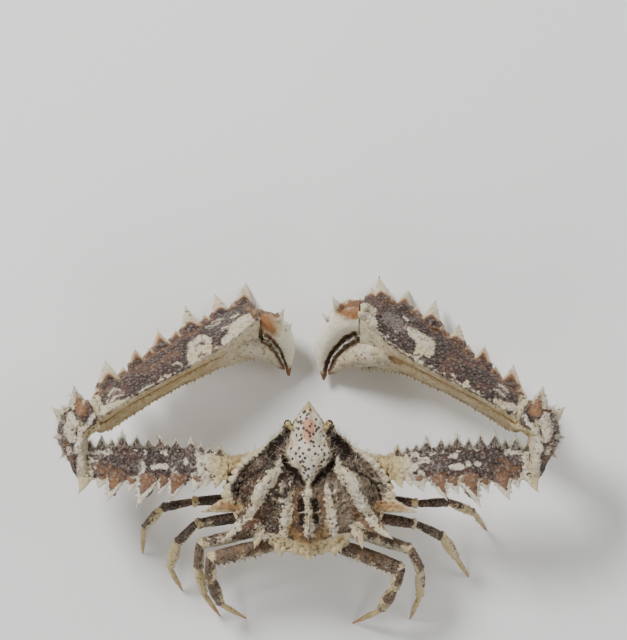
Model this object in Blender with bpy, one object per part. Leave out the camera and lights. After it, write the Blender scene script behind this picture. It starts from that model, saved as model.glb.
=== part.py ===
"""An elbow crab (Enoplolambrus pransor), life size, as separate articles of its shell.

The crab faces -Y with its left side at +X, and stands on the floor at Z = 0. The origin is the middle of
its footprint. Sizes below are in millimetres, and mesh_object turns them into metres. Every article is
made at +X, and the right side is then mirrored, with sizes and a pose of its own.
"""

import math
import random

import bmesh
import bpy
import numpy as np
from mathutils import Vector

MM = 0.001
GAP = 0.3
FLOOR = 0.0
SEED = 7
SHORT_SPINE = 1.6

# Body
CARAPACE_HALF_OUTLINE = [
    (0.0, -9.63), (1.0, -8.3), (2.6, -6.1), (3.15, -5.0), (4.15, -4.7), (5.7, -3.4), (7.1, -2.25),
    (8.0, -1.35), (8.8, -1.05), (10.6, -0.2), (12.2, 0.9), (13.5, 2.0), (14.4, 3.6), (14.9, 5.6),
    (14.8, 7.6), (13.9, 9.7), (13.0, 11.7), (11.5, 13.3), (9.0, 14.2), (6.8, 15.5), (5.6, 17.1),
    (3.2, 17.7), (1.3, 18.2), (0.0, 18.5),
]
BODY_MIDDLE = (0.0, 4.5)
CARAPACE_UNDERSIDE = 16.3
THORAX_HALF_OUTLINE = [
    (0.0, -1.5), (3.6, -1.5), (5.6, -0.7), (8.3, 1.4), (9.8, 4.8), (9.9, 8.6), (8.8, 12.4), (6.4, 15.4),
    (3.2, 16.6), (0.0, 16.9),
]
THORAX_RIM = 15.0
THORAX_BOTTOM = 9.2

# Relief of the back. Each pair holds places along y, then the values there: the height of the shell's edge,
# of the open back and of the crown of the mask, the raised plate behind the beak, and the mask's half width
EDGE_HEIGHTS = (
    (-9.7, -5.2, -2.3, -1.0, 1.0, 8.0, 12.0, 14.0, 17.0, 18.6),
    (23.5, 22.8, 19.9, 18.7, 18.1, 17.9, 18.6, 17.8, 17.2, 17.1),
)
BACK_LEVELS = ((-9.7, -5.0, 0.0, 6.0, 12.0, 16.0, 18.6), (23.3, 22.6, 21.8, 21.6, 20.4, 18.8, 17.4))
MASK_CROWN = ((-9.7, -6.1, -3.0, -0.8, 1.5, 3.5, 6.4), (23.7, 24.7, 25.4, 25.6, 25.2, 24.2, 22.9))
MASK_HALF_WIDTHS = (
    (-9.7, -8.3, -6.1, -3.7, -1.4, 1.0, 2.4, 4.1, 5.6, 6.4),
    (0.2, 1.0, 2.6, 3.3, 4.2, 3.5, 2.3, 1.4, 0.7, 0.3),
)
FACE_UNDERSIDE = ((-9.7, -5.2, -2.3, -1.7), (22.7, 21.4, 18.9, CARAPACE_UNDERSIDE))
RIDGE = [(5.4, 0.6), (6.9, 3.6), (8.7, 6.1), (10.2, 9.4), (12.2, 12.7), (15.2, 15.0)]
RIDGE_CRESTS = (22.5, 23.7, 24.1, 23.2, 21.9, 21.7)
SHELL_EDGE = 0.75

# Spines of the carapace: root, tip, width and thickness
SIDE_SPINE = ((13.4, 8.6, 17.6), (19.3, 10.4, 20.7), 3.8, 2.1)
BRANCHIAL_SPINE = ((10.6, 11.8, 19.4), (15.1, 15.2, 21.9), 3.6, 2.4)
INNER_SPINE = ((8.6, 13.2, 17.7), (9.9, 16.7, 19.2), 2.4, 1.6)
ORBIT_TOOTH = ((4.2, -4.0, 22.2), (4.6, -5.4, 22.8), 1.3, 1.0)
TAIL_TOOTH = ((0.0, 17.8, 16.9), (0.0, 19.7, 17.5), 1.5, 1.2)
BACK_KNOBS = [
    ((0.0, 7.0, 22.4), (0.0, 7.2, 23.6), 1.5, 1.7),
    ((0.0, 10.2, 21.6), (0.0, 10.4, 22.8), 1.5, 1.7),
    ((0.0, 13.6, 20.5), (0.0, 13.8, 21.7), 1.5, 1.7),
]
SIDE_TOOTH_COUNT = 8
SIDE_TOOTH_SPAN = (0.375, 0.62)
SIDE_TOOTH_LENGTHS = (0.55, 1.1)
HIND_EDGE_TEETH = ((0.885, 1.1), (0.915, 1.0))

# Face and tail
EYE = (3.7, -5.5, 23.1)
EYE_RADIUS = 0.72
ANTENNULE = (1.7, -4.5, 20.9)
ANTENNULE_RADII = (0.95, 0.9, 1.3)
ANTENNULE_LEAN = 0.5
DOOR_FOOT = (1.95, -1.95, 14.1)
DOOR_HEAD = (1.85, -2.95, 18.5)
DOOR_HALF_WIDTH = 1.68
DOOR_THICKNESS = 0.9
TAIL_LINE = [
    (0, 17.6, 14.6), (0, 17.3, 12.4), (0, 15.4, 9.9), (0, 12.0, 8.6), (0, 8.0, 8.2), (0, 4.6, 8.3),
]
TAIL_WIDTHS = (4.6, 6.2, 6.6, 5.6, 3.8, 1.4)
TAIL_THICKNESS = 1.5

# Long claws. The base's middle line and size, then the three edges of each article as (x, y, z) at even steps
# from the body outwards
CLAW_BASE_LINE = [(4.0, 0.8, 12.2), (7.4, 1.4, 13.2), (11.2, 2.0, 15.3), (14.25, 2.2, 17.3)]
CLAW_BASE_SIZES = (4.0, 4.4, 4.2, 3.7)
MERUS_EDGES = {
    "front": [
        (14.4, 0.0, 18.4), (20.9, -1.1, 18.5), (27.5, -1.5, 18.6),
        (34.0, -1.6, 18.7), (40.6, -1.0, 18.6),
    ],
    "back": [
        (14.4, 4.4, 19.2), (20.9, 4.9, 19.9), (27.5, 5.0, 20.2),
        (34.0, 5.0, 20.1), (40.6, 4.3, 19.6),
    ],
    "keel": [
        (14.4, 2.3, 15.6), (20.9, 2.2, 15.1), (27.5, 2.0, 15.0),
        (34.0, 2.0, 15.1), (40.6, 1.8, 15.6),
    ],
}
ELBOW_PLANE = (40.9, 1.6, 18.0)
WRIST_PLANE = (38.2, -7.0, 16.0)
WRIST_FACING = (-0.89, -0.457, 0.0)
SHOULDER_PLANE = (14.4, 2.2, 17.5)

CARPUS_OUTLINE = [
    (39.6, -1.0), (39.6, -3.0), (37.8, -4.3), (35.8, -5.4), (36.9, -9.0), (39.4, -10.3), (41.6, -10.1),
    (43.0, -8.9), (44.3, -7.2), (45.0, -5.0), (45.0, -2.6), (44.2, -0.8), (42.9, 1.4), (41.8, 3.8),
    (39.8, 3.8),
]
CARPUS_MIDDLE = (42.0, -3.4, 18.3)
CARPUS_HALF_HEIGHT = 4.3
CARPUS_SPINES = [
    ((41.6, -8.8, 19.0), (42.5, -11.7, 19.6), 3.2, 2.0),
    ((44.0, -6.0, 18.4), (46.1, -7.6, 18.2), 2.6, 1.8),
    ((44.4, -3.2, 17.6), (46.1, -2.6, 17.2), 1.9, 1.4),
    ((43.4, -7.9, 20.6), (44.5, -9.0, 21.4), 1.5, 1.2),
    ((43.6, -0.4, 18.6), (44.7, 0.8, 19.0), 1.5, 1.2),
    ((41.4, -5.2, 22.2), (41.0, -5.6, 23.4), 2.4, 2.0),
    ((42.6, -0.8, 21.4), (42.9, -0.2, 22.5), 1.6, 1.4),
    ((44.0, -5.6, 15.8), (45.7, -6.8, 14.8), 1.9, 1.4),
    ((42.2, -8.4, 16.0), (42.9, -10.6, 14.9), 1.8, 1.4),
]

# Place along the edge from the body outwards, and length, of each large spine
MERUS_BACK_SPINES = [
    (0.08, 1.6), (0.15, 1.2), (0.22, 2.3), (0.36, 3.6), (0.45, 2.2), (0.57, 4.4), (0.67, 1.8), (0.79, 3.5),
    (0.88, 1.6), (0.99, 2.6),
]
MERUS_FRONT_SPINES = [
    (0.06, 1.6), (0.13, 0.9), (0.19, 1.2), (0.26, 2.1), (0.36, 1.7), (0.42, 1.0), (0.47, 2.3), (0.55, 1.6),
    (0.63, 2.3), (0.73, 2.8), (0.80, 1.5), (0.87, 2.1), (0.95, 1.6),
]
PALM_CREST_SPINES = [
    (0.06, 1.1), (0.16, 1.0), (0.27, 0.9), (0.38, 1.0), (0.48, 1.3), (0.56, 1.0), (0.64, 1.3), (0.72, 2.0),
    (0.81, 1.3), (0.89, 1.8), (0.97, 1.9),
]
PALM_INNER_TOOTH_COUNT = 22
PALM_INNER_TOOTH = 0.75

# The hand of each side: its three edges, then its outer spines as place, reach forwards and drop, then the
# middle line, widths and heights of the moving finger and of the fixed one
HANDS = {
    "left": {
        "outer": [
            (38.6, -10.4, 12.2), (31.6, -15.8, 9.6), (24.9, -20.2, 7.0),
            (18.3, -23.9, 4.6), (11.2, -27.3, 2.8),
        ],
        "crest": [
            (37.2, -7.0, 19.2), (29.6, -11.5, 18.3), (22.4, -15.3, 16.9),
            (15.2, -19.6, 15.4), (8.6, -24.8, 13.6),
        ],
        "inner": [
            (36.6, -4.0, 13.2), (29.8, -8.5, 11.4), (23.1, -12.2, 9.6),
            (16.1, -15.5, 7.6), (9.6, -17.4, 5.6),
        ],
        "spines": [
            (0.02, 1.3, 0.6), (0.09, 4.4, 2.4), (0.18, 1.5, 0.8),
            (0.27, 3.3, 1.9), (0.35, 1.6, 1.0),
            (0.43, 4.0, 2.6), (0.53, 1.8, 1.2), (0.63, 4.8, 3.4),
            (0.73, 1.9, 1.4), (0.83, 4.3, 4.3),
            (0.905, 1.5, 1.2), (0.97, 4.2, 3.5),
        ],
        "finger_plane": (8.75, -24.0, 8.6),
        "finger_facing": (-0.99, -0.12, 0.0),
        "dactyl": [
            (9.6, -23.3, 8.6), (7.2, -23.0, 8.1), (5.2, -21.5, 6.6),
            (3.9, -18.8, 4.6), (3.6, -14.9, 2.6),
        ],
        "dactyl_widths": (5.0, 5.0, 4.2, 2.7, 0.7),
        "dactyl_heights": (8.2, 7.4, 5.6, 3.4, 0.8),
        "pollex": [
            (12.2, -19.8, 8.4), (10.0, -19.3, 7.7), (8.2, -18.5, 6.4),
            (6.5, -17.1, 4.5), (4.5, -15.2, 2.4),
        ],
        "pollex_widths": (4.8, 4.3, 3.3, 2.1, 0.6),
        "pollex_heights": (6.4, 6.0, 4.8, 3.2, 0.8),
        "hinge_spines": [
            ((5.4, -24.2, 11.0), (4.4, -26.3, 13.2), 1.9, 1.3),
            ((4.0, -22.4, 9.2), (2.9, -23.6, 10.0), 1.4, 1.0),
        ],
    },
    "right": {
        "outer": [
            (38.6, -10.6, 12.2), (31.6, -16.1, 9.6), (24.9, -21.5, 6.9),
            (18.3, -25.9, 4.4), (11.2, -28.6, 2.6),
        ],
        "crest": [
            (37.2, -7.0, 19.2), (29.9, -11.2, 18.4), (22.4, -15.1, 17.1),
            (15.2, -19.5, 15.7), (8.8, -25.6, 13.9),
        ],
        "inner": [
            (36.6, -4.0, 13.2), (29.8, -8.3, 11.3), (23.1, -11.9, 9.4),
            (16.1, -14.7, 7.3), (9.4, -15.5, 5.2),
        ],
        "spines": [
            (0.02, 1.4, 0.7), (0.10, 4.6, 2.5), (0.19, 1.6, 0.8),
            (0.28, 3.9, 2.2), (0.37, 1.6, 1.0),
            (0.46, 3.9, 2.7), (0.54, 1.7, 1.2), (0.62, 4.9, 3.6),
            (0.72, 1.7, 1.3), (0.81, 3.5, 4.1),
            (0.88, 1.3, 1.1), (0.94, 4.3, 3.5), (0.995, 1.8, 0.4),
        ],
        "finger_plane": (9.3, -25.0, 8.6),
        "finger_facing": (-1.0, -0.03, 0.0),
        "dactyl": [
            (10.2, -25.2, 8.8), (7.4, -24.7, 8.3), (4.7, -22.5, 6.8),
            (2.5, -18.4, 4.6), (2.9, -13.7, 2.4),
        ],
        "dactyl_widths": (6.6, 6.3, 4.9, 3.0, 0.7),
        "dactyl_heights": (8.6, 7.9, 6.1, 3.8, 0.8),
        "pollex": [
            (13.0, -18.6, 8.6), (10.8, -18.2, 7.9), (8.2, -17.4, 6.3),
            (5.8, -16.1, 4.3), (3.8, -14.3, 2.3),
        ],
        "pollex_widths": (5.8, 5.3, 3.9, 2.4, 0.6),
        "pollex_heights": (6.8, 6.4, 5.0, 3.4, 0.8),
        "hinge_spines": [
            ((5.4, -26.4, 11.4), (4.3, -28.3, 13.6), 2.0, 1.4),
            ((3.6, -24.2, 9.4), (2.4, -25.4, 10.3), 1.5, 1.1),
        ],
    },
}

# Walking legs: root beside the thorax, reach of each article seen from above, and its heading in degrees,
# where 0 is straight out to the side and 90 is straight back
LEGS = {
    ("left", 2): ((9.1, 8.1), (12.0, 5.5, 5.2, 4.8), (3, 12, 48, 86)),
    ("left", 3): ((8.6, 10.9), (11.9, 4.9, 4.8, 4.9), (9, 46, 73, 116)),
    ("left", 4): ((7.9, 13.3), (12.1, 4.5, 4.7, 5.2), (15, 86, 101, 123)),
    ("left", 5): ((5.9, 15.9), (12.2, 3.8, 4.9, 5.4), (15, 91, 110, 148)),
    ("right", 2): ((9.3, 8.1), (10.6, 5.5, 5.1, 4.2), (5, -2, 24, 54)),
    ("right", 3): ((8.6, 10.9), (11.1, 5.3, 4.6, 4.4), (10, 26, 57, 57)),
    ("right", 4): ((7.9, 13.3), (11.2, 4.3, 4.9, 4.7), (21, 64, 91, 111)),
    ("right", 5): ((5.9, 15.9), (11.8, 3.9, 4.6, 5.6), (25, 109, 120, 152)),
}
LEG_ROOT_HEIGHTS = {2: 12.0, 3: 11.8, 4: 12.2, 5: 13.4}
LEG_JOINT_HEIGHTS = {2: (12.8, 11.0, 6.2), 3: (12.6, 10.6, 6.0), 4: (12.7, 10.4, 5.8), 5: (13.6, 11.4, 6.2)}
LEG_SIZE = {2: 0.9, 3: 0.95, 4: 1.0, 5: 1.02}
# Widths and heights at even steps along each article of a leg
LEG_ARTICLES = {
    "merus": ((1.5, 1.75, 2.0, 2.05, 1.7), (1.7, 2.1, 2.5, 2.4, 1.9)),
    "carpus": ((1.45, 1.65, 1.85, 1.5), (1.6, 1.9, 2.05, 1.7)),
    "propodus": ((1.4, 1.9, 1.75, 1.05), (1.6, 2.0, 1.9, 1.2)),
    "dactylus": ((0.95, 1.05, 0.8, 0.5), (1.1, 1.15, 0.85, 0.5)),
}
LEG_SIDES = 8
LEG_BOW = 0.2
LEG_INNER_END = (-4.2, -0.6, -0.8)
HIND_TOOTH_COUNT = 7
HIND_TOOTH = 0.9

COLOURS = {
    "shell_dark": (0.25, 0.18, 0.16),
    "shell_pale": (0.74, 0.69, 0.58),
    "leg_tan": (0.52, 0.42, 0.26),
    "underside": (0.66, 0.58, 0.38),
    "eye": (0.05, 0.04, 0.035),
}


def clear_scene():
    for leftover in list(bpy.data.objects):
        bpy.data.objects.remove(leftover)


def material(name):
    made = bpy.data.materials.get(name)
    if made:
        return made
    made = bpy.data.materials.new(name)
    made.use_nodes = True
    shader = made.node_tree.nodes["Principled BSDF"]
    shader.inputs["Base Color"].default_value = (*COLOURS[name], 1.0)
    shader.inputs["Roughness"].default_value = 0.2 if name == "eye" else 0.6
    shader.inputs["Metallic"].default_value = 0.0
    return made


def mesh_object(name, points, faces, finish=None, mirrored=False):
    """A closed mesh from points in millimetres. A mirrored one lies on the right side."""
    points = np.array(points, float) * MM
    if mirrored:
        points = points * (-1, 1, 1)
    mesh = bpy.data.meshes.new(name)
    mesh.from_pydata(points.tolist(), [], faces)
    shape = bmesh.new()
    shape.from_mesh(mesh)
    bmesh.ops.recalc_face_normals(shape, faces=shape.faces)
    bmesh.ops.triangulate(shape, faces=shape.faces)
    shape.to_mesh(mesh)
    shape.free()
    if finish:
        mesh.materials.append(material(finish))
    made = bpy.data.objects.new(name, mesh)
    bpy.context.scene.collection.objects.link(made)
    return made


def smooth_line(points, count):
    """count points on the Catmull-Rom curve through the given points."""
    points = np.array(points, float)
    before, after = 2 * points[0] - points[1], 2 * points[-1] - points[-2]
    knots = np.vstack([before, points, after])
    places = np.linspace(0, len(points) - 1, count)
    spans = np.minimum(places.astype(int), len(points) - 2)
    t = (places - spans)[:, None]
    a, b, c, d = (knots[spans + k] for k in range(4))
    return 0.5 * (2 * b + (c - a) * t + (2 * a - 5 * b + 4 * c - d) * t**2 + (3 * b - a - 3 * c + d) * t**3)


def on_line(points, place):
    """The point at a share 0 to 1 of the curve's knots, and the direction there."""
    fine = smooth_line(points, 101)
    at = min(max(place, 0.0), 1.0) * 100
    low = min(int(at), 99)
    point = fine[low] + (fine[low + 1] - fine[low]) * (at - low)
    direction = fine[min(low + 2, 100)] - fine[max(low - 1, 0)]
    return point, direction / np.linalg.norm(direction)


def unit(vector):
    vector = np.array(vector, float)
    return vector / np.linalg.norm(vector)


def skin_rings(rings):
    """Points and faces of the closed body through rings of equal counts, with a flat cap on each end."""
    count = len(rings[0])
    points = [point for ring in rings for point in ring]
    faces = [list(range(count))[::-1], [len(points) - count + k for k in range(count)]]
    for row in range(len(rings) - 1):
        for k in range(count):
            here, there = row * count + k, row * count + (k + 1) % count
            faces.append([here, there, there + count, here + count])
    return points, faces


def prism(edges, bulges, stations, steps):
    """Body between three edges. Each side between two edges swells outwards by its bulge."""
    lines = [smooth_line(edge, stations) for edge in edges]
    rings = []
    for row in range(stations):
        corners = [line[row] for line in lines]
        middle = np.mean(corners, axis=0)
        ring = []
        for side, bulge in enumerate(bulges):
            start, end = corners[side], corners[(side + 1) % 3]
            outward = unit((start + end) / 2 - middle)
            for step in range(steps):
                share = step / steps
                ring.append(start + (end - start) * share + outward * bulge * 4 * share * (1 - share))
        rings.append(ring)
    return skin_rings(rings)


def tube(line, widths, heights, sides, first_normal=None, last_normal=None, stations=None):
    """Body of elliptical section along a line. Widths lie level and heights across them."""
    count = stations or len(line)
    middle = smooth_line(line, count)
    wide = np.interp(np.linspace(0, 1, count), np.linspace(0, 1, len(widths)), widths)
    high = np.interp(np.linspace(0, 1, count), np.linspace(0, 1, len(heights)), heights)
    rings = []
    for row in range(count):
        along = unit(middle[min(row + 1, count - 1)] - middle[max(row - 1, 0)])
        if row == 0 and first_normal is not None:
            along = unit(first_normal)
        if row == count - 1 and last_normal is not None:
            along = unit(last_normal)
        level = np.cross((0, 0, 1), along)
        if np.linalg.norm(level) < 0.2:
            level = np.cross((0, 0, 1), unit(middle[-1] - middle[0]))
        level = unit(level)
        upward = unit(np.cross(along, level))
        turns = [2 * math.pi * (k + 0.5) / sides for k in range(sides)]
        rings.append(
            [
                middle[row]
                + level * math.cos(turn) * wide[row] / 2
                + upward * math.sin(turn) * high[row] / 2
                for turn in turns
            ]
        )
    return skin_rings(rings)


def pillow(outline, middle, top, bottom, rings):
    """Body over a plan outline, between two height functions of (x, y, share of the way to the edge)."""
    outline = np.array(outline, float)
    count = len(outline)
    shares = [(k / rings) ** 0.9 for k in range(1, rings + 1)]
    points, starts = [], {}
    for name, height in (("top", top), ("bottom", bottom)):
        starts[name] = len(points)
        points.append((*middle, height(middle[0], middle[1], 0.0)))
        for share in shares:
            for x, y in np.array(middle) + (outline - middle) * share:
                points.append((x, y, height(x, y, share)))
    faces = []
    for name in ("top", "bottom"):
        base = starts[name] + 1
        for k in range(count):
            beside = (k + 1) % count
            faces.append([starts[name], base + k, base + beside])
            for row in range(rings - 1):
                low, high = base + row * count, base + (row + 1) * count
                faces.append([low + k, high + k, high + beside, low + beside])
    upper_rim = starts["top"] + 1 + (rings - 1) * count
    lower_rim = starts["bottom"] + 1 + (rings - 1) * count
    for k in range(count):
        beside = (k + 1) % count
        faces.append([upper_rim + k, lower_rim + k, lower_rim + beside, upper_rim + beside])
    return points, faces


def whole_outline(half, count):
    """A closed outline from its right half, smoothed, with the ends on the middle line."""
    side = smooth_line(half, count)
    side[0][0] = side[-1][0] = 0.0
    return np.vstack([side, side[1:-1][::-1] * (-1, 1)])


def spine(root, tip, width, thickness, across, sides=6, sink=0.5, hook=(0, 0, 0)):
    """A tapered spine. across is the direction of its width, and hook bends its middle off the straight."""
    root, tip, hook = (np.array(v, float) for v in (root, tip, hook))
    length = np.linalg.norm(tip - root)
    out = (tip - root) / length
    wide = unit(np.array(across, float) - out * np.dot(across, out))
    thick = np.cross(out, wide)
    stages = [(-sink / length, 1.12)]
    if length > SHORT_SPINE:
        stages += [(0.12, 0.86), (0.55, 0.40)]
    points = []
    for share, size in stages:
        centre = root + (tip - root) * share + hook * 4 * max(share, 0) * (1 - share)
        for k in range(sides):
            turn = 2 * math.pi * k / sides
            points.append(
                centre
                + wide * math.cos(turn) * width * size / 2
                + thick * math.sin(turn) * thickness * size / 2
            )
    points.append(tip)
    apex = len(points) - 1
    faces = [list(range(sides))[::-1]]
    for row in range(len(stages) - 1):
        for k in range(sides):
            here, there = row * sides + k, row * sides + (k + 1) % sides
            faces.append([here, there, there + sides, here + sides])
    last = (len(stages) - 1) * sides
    faces += [[last + k, last + (k + 1) % sides, apex] for k in range(sides)]
    return points, faces


def applied(body):
    """Puts the evaluated mesh in place of the modifiers."""
    bpy.context.view_layer.update()
    graph = bpy.context.evaluated_depsgraph_get()
    mesh = bpy.data.meshes.new_from_object(body.evaluated_get(graph))
    body.modifiers.clear()
    body.data = mesh
    return body


def keep_largest(body):
    """Leaves only the closed surface with the largest volume."""
    shape = bmesh.new()
    shape.from_mesh(body.data)
    bmesh.ops.remove_doubles(shape, verts=shape.verts, dist=1e-7)
    shape.faces.ensure_lookup_table()
    seen, groups = set(), []
    for face in shape.faces:
        if face in seen:
            continue
        group, waiting = [], [face]
        seen.add(face)
        while waiting:
            current = waiting.pop()
            group.append(current)
            for edge in current.edges:
                for beside in edge.link_faces:
                    if beside not in seen:
                        seen.add(beside)
                        waiting.append(beside)
        groups.append(group)

    def volume(group):
        total = 0.0
        for face in group:
            corners = [v.co for v in face.verts]
            for k in range(1, len(corners) - 1):
                total += corners[0].dot(corners[k].cross(corners[k + 1])) / 6
        return total

    groups.sort(key=volume, reverse=True)
    for group in groups[1:]:
        bmesh.ops.delete(shape, geom=group, context="FACES")
    bmesh.ops.triangulate(shape, faces=shape.faces)
    loose = [v for v in shape.verts if not v.link_faces]
    bmesh.ops.delete(shape, geom=loose, context="VERTS")
    shape.to_mesh(body.data)
    shape.free()
    return body


def fuse(body, pieces):
    """Joins closed pieces to the body with one Boolean union, then removes them."""
    if not pieces:
        return body
    group = bpy.data.collections.new(body.name + "_pieces")
    bpy.context.scene.collection.children.link(group)
    for piece in pieces:
        bpy.context.scene.collection.objects.unlink(piece)
        group.objects.link(piece)
    union = body.modifiers.new("union", "BOOLEAN")
    union.operation = "UNION"
    union.operand_type = "COLLECTION"
    union.collection = group
    union.solver = "MANIFOLD"
    applied(body)
    for piece in pieces:
        bpy.data.objects.remove(piece)
    bpy.data.collections.remove(group)
    return keep_largest(body)


def cut(body, *cutters):
    """Takes the cutters' space out of the body."""
    for cutter in cutters:
        difference = body.modifiers.new("cut", "BOOLEAN")
        difference.operation = "DIFFERENCE"
        difference.object = cutter
        difference.solver = "MANIFOLD"
        applied(body)
    return keep_largest(body)


def clearance(body, gap=GAP):
    """A cutter that stands the gap proud of the body."""
    mesh = body.data.copy()
    shape = bmesh.new()
    shape.from_mesh(mesh)
    shape.normal_update()
    moved = [(v, v.co + v.normal * gap * v.calc_shell_factor() * MM) for v in shape.verts]
    for v, place in moved:
        v.co = place
    shape.to_mesh(mesh)
    shape.free()
    cutter = bpy.data.objects.new(body.name + "_clearance", mesh)
    bpy.context.scene.collection.objects.link(cutter)
    cutter.hide_render = True
    cutter.display_type = "WIRE"
    return cutter


def trim(body, point, facing, mirrored=False):
    """Cuts the body flat at a plane and removes what lies on the side that the plane faces."""
    flip = -1 if mirrored else 1
    shape = bmesh.new()
    shape.from_mesh(body.data)
    result = bmesh.ops.bisect_plane(
        shape,
        geom=[*shape.verts, *shape.edges, *shape.faces],
        dist=1e-7,
        plane_co=Vector((point[0] * flip, point[1], point[2])) * MM,
        plane_no=Vector((facing[0] * flip, facing[1], facing[2])),
        clear_outer=True,
    )
    rim = [item for item in result["geom_cut"] if isinstance(item, bmesh.types.BMEdge)]
    bmesh.ops.contextual_create(shape, geom=rim)
    bmesh.ops.recalc_face_normals(shape, faces=shape.faces)
    bmesh.ops.triangulate(shape, faces=shape.faces)
    shape.to_mesh(body.data)
    shape.free()
    return keep_largest(body)


def smoothed(body, angle=40):
    body.data.shade_smooth()
    body.data.set_sharp_from_angle(angle=math.radians(angle))
    return body


def hump(distance, width):
    return math.exp(-((distance / width) ** 2))


def ridge_at(x, y):
    """Distance from the slanting ridge over the gills, and the height of its crest at the nearest place."""
    best = (99.0, 0.0)
    for k in range(len(RIDGE) - 1):
        start, end = np.array(RIDGE[k]), np.array(RIDGE[k + 1])
        span = end - start
        share = min(max(float(np.dot((x, y) - start, span) / np.dot(span, span)), 0.0), 1.0)
        away = float(np.linalg.norm(start + span * share - (x, y)))
        if away < best[0]:
            best = (away, RIDGE_CRESTS[k] + (RIDGE_CRESTS[k + 1] - RIDGE_CRESTS[k]) * share)
    return best


def carapace_top(x, y, share):
    x = abs(x)
    edge = float(np.interp(y, *EDGE_HEIGHTS))
    level = float(np.interp(y, *BACK_LEVELS))
    level -= 0.022 * x * x * (0.5 if y < 0 else 1.0)
    away, crest = ridge_at(x, y)
    level += (crest - level) * hump(away, 2.2)
    back = hump(max(5.8 - y, 0, y - 15.5), 1.2)
    level += back * (1.1 * hump(x, 1.4) + 0.8 * hump(x - 4.5, 1.1) - 0.3 * hump(x - 2.6, 0.9))
    half = float(np.interp(y, *MASK_HALF_WIDTHS))
    mask_level = float(np.interp(y, *MASK_CROWN))
    mask_level -= 1.1 * min(x / half, 1.3) ** 2
    inside = 1 / (1 + math.exp(min(max((x - half) / 0.28, -30), 30)))
    level += max(mask_level - level, 0) * inside
    falloff = 1 - share**5
    return edge + max(level - edge, 0.0) * falloff


def carapace_bottom(x, y, share):
    x = abs(x)
    under = CARAPACE_UNDERSIDE + 0.35 * share**4
    if y < -1.7:
        slope = float(np.interp(y, *FACE_UNDERSIDE))
        beside = hump(max(x - 4.6, 0), 1.6)
        under = max(under, under + (slope - under) * beside)
    return min(under, np.interp(y, *EDGE_HEIGHTS) - SHELL_EDGE, carapace_top(x, y, share) - SHELL_EDGE)


def outline_tooth(place, length, width, height, lift=0.25):
    """A blunt tooth pointing out of the carapace edge, at a place along the half outline."""
    point, along = on_line(CARAPACE_HALF_OUTLINE, place)
    out = np.array((-along[1], along[0])) * -1
    if np.dot(out, point - np.array(BODY_MIDDLE)) < 0:
        out = -out
    root = np.array((*(point - out * 0.35), height))
    tip = root + np.array((*(out * (length + 0.35)), lift))
    return spine(root, tip, width, 1.1, (*along, 0), sides=5, sink=0.3)


def carapace():
    """The shell of the back, with its beak, spines and the toothed edge over the gill chambers."""
    outline = whole_outline(CARAPACE_HALF_OUTLINE, 38)
    shell = pillow(outline, BODY_MIDDLE, carapace_top, carapace_bottom, 12)
    body = mesh_object("carapace", *shell, "shell_dark")
    pieces = []
    for mirrored in (False, True):
        for root, tip, width, thickness in (SIDE_SPINE, BRANCHIAL_SPINE, INNER_SPINE):
            along = np.cross(np.array(tip) - np.array(root), (0, 0, 1))
            horn = spine(root, tip, width, thickness, along, sink=1.2, hook=(0, 0, -0.2))
            pieces.append(horn + (mirrored,))
        places = np.linspace(*SIDE_TOOTH_SPAN, SIDE_TOOTH_COUNT)
        lengths = np.linspace(*SIDE_TOOTH_LENGTHS, SIDE_TOOTH_COUNT)
        for place, length in zip(places, lengths):
            pieces.append(outline_tooth(place, length, 1.3 + 0.35 * length, 17.75) + (mirrored,))
        for place, length in HIND_EDGE_TEETH:
            pieces.append(outline_tooth(place, length, 1.0, 16.9) + (mirrored,))
        pieces.append(spine(*ORBIT_TOOTH, (1, 0, 0), sink=0.6) + (mirrored,))
    for part in (TAIL_TOOTH, *BACK_KNOBS):
        pieces.append(spine(*part, (1, 0, 0)) + (False,))
    return fuse(body, [mesh_object(f"edge_{k}", p, f, None, m) for k, (p, f, m) in enumerate(pieces)])


def eye(side, mirrored):
    """A round eye on a short stalk, set in the notch beside the beak."""
    ball = bmesh.new()
    bmesh.ops.create_icosphere(ball, subdivisions=2, radius=EYE_RADIUS)
    points = [np.array(v.co) + EYE for v in ball.verts]
    faces = [[v.index for v in face.verts] for face in ball.faces]
    ball.free()
    return mesh_object(f"eye_{side}", points, faces, "eye", mirrored)


def ellipsoid(name, centre, radii, lean, finish, mirrored, rings=7, sides=10):
    """A round body, leaning forwards by an angle in radians."""
    points, faces = [], []
    turned = np.array([[1, 0, 0], [0, math.cos(lean), -math.sin(lean)], [0, math.sin(lean), math.cos(lean)]])
    for row in range(1, rings):
        polar = math.pi * row / rings
        for k in range(sides):
            turn = 2 * math.pi * k / sides
            ball = (math.sin(polar) * math.cos(turn), math.sin(polar) * math.sin(turn), math.cos(polar))
            points.append(turned @ (np.array(ball) * radii) + centre)
    for row in range(rings - 2):
        for k in range(sides):
            here, there = row * sides + k, row * sides + (k + 1) % sides
            faces.append([here, there, there + sides, here + sides])
    points += [turned @ np.array((0, 0, radii[2])) + centre, turned @ np.array((0, 0, -radii[2])) + centre]
    last = (rings - 2) * sides
    for k in range(sides):
        faces.append([len(points) - 2, k, (k + 1) % sides])
        faces.append([len(points) - 1, last + (k + 1) % sides, last + k])
    return mesh_object(name, points, faces, finish, mirrored)


def thorax():
    """The breast plates under the carapace, as one bowl that the legs grow from."""
    outline = whole_outline(THORAX_HALF_OUTLINE, 16)

    def top(x, y, share):
        return CARAPACE_UNDERSIDE - GAP

    def bottom(x, y, share):
        steep = 3.0 + (3.0 if y < 0.5 else 0.0)
        return THORAX_BOTTOM + (THORAX_RIM - THORAX_BOTTOM) * share**steep - 0.3 * hump(x, 2.5) * (1 - share)

    return mesh_object("thorax", *pillow(outline, (0.0, 6.5), top, bottom, 6), "underside")


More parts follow.
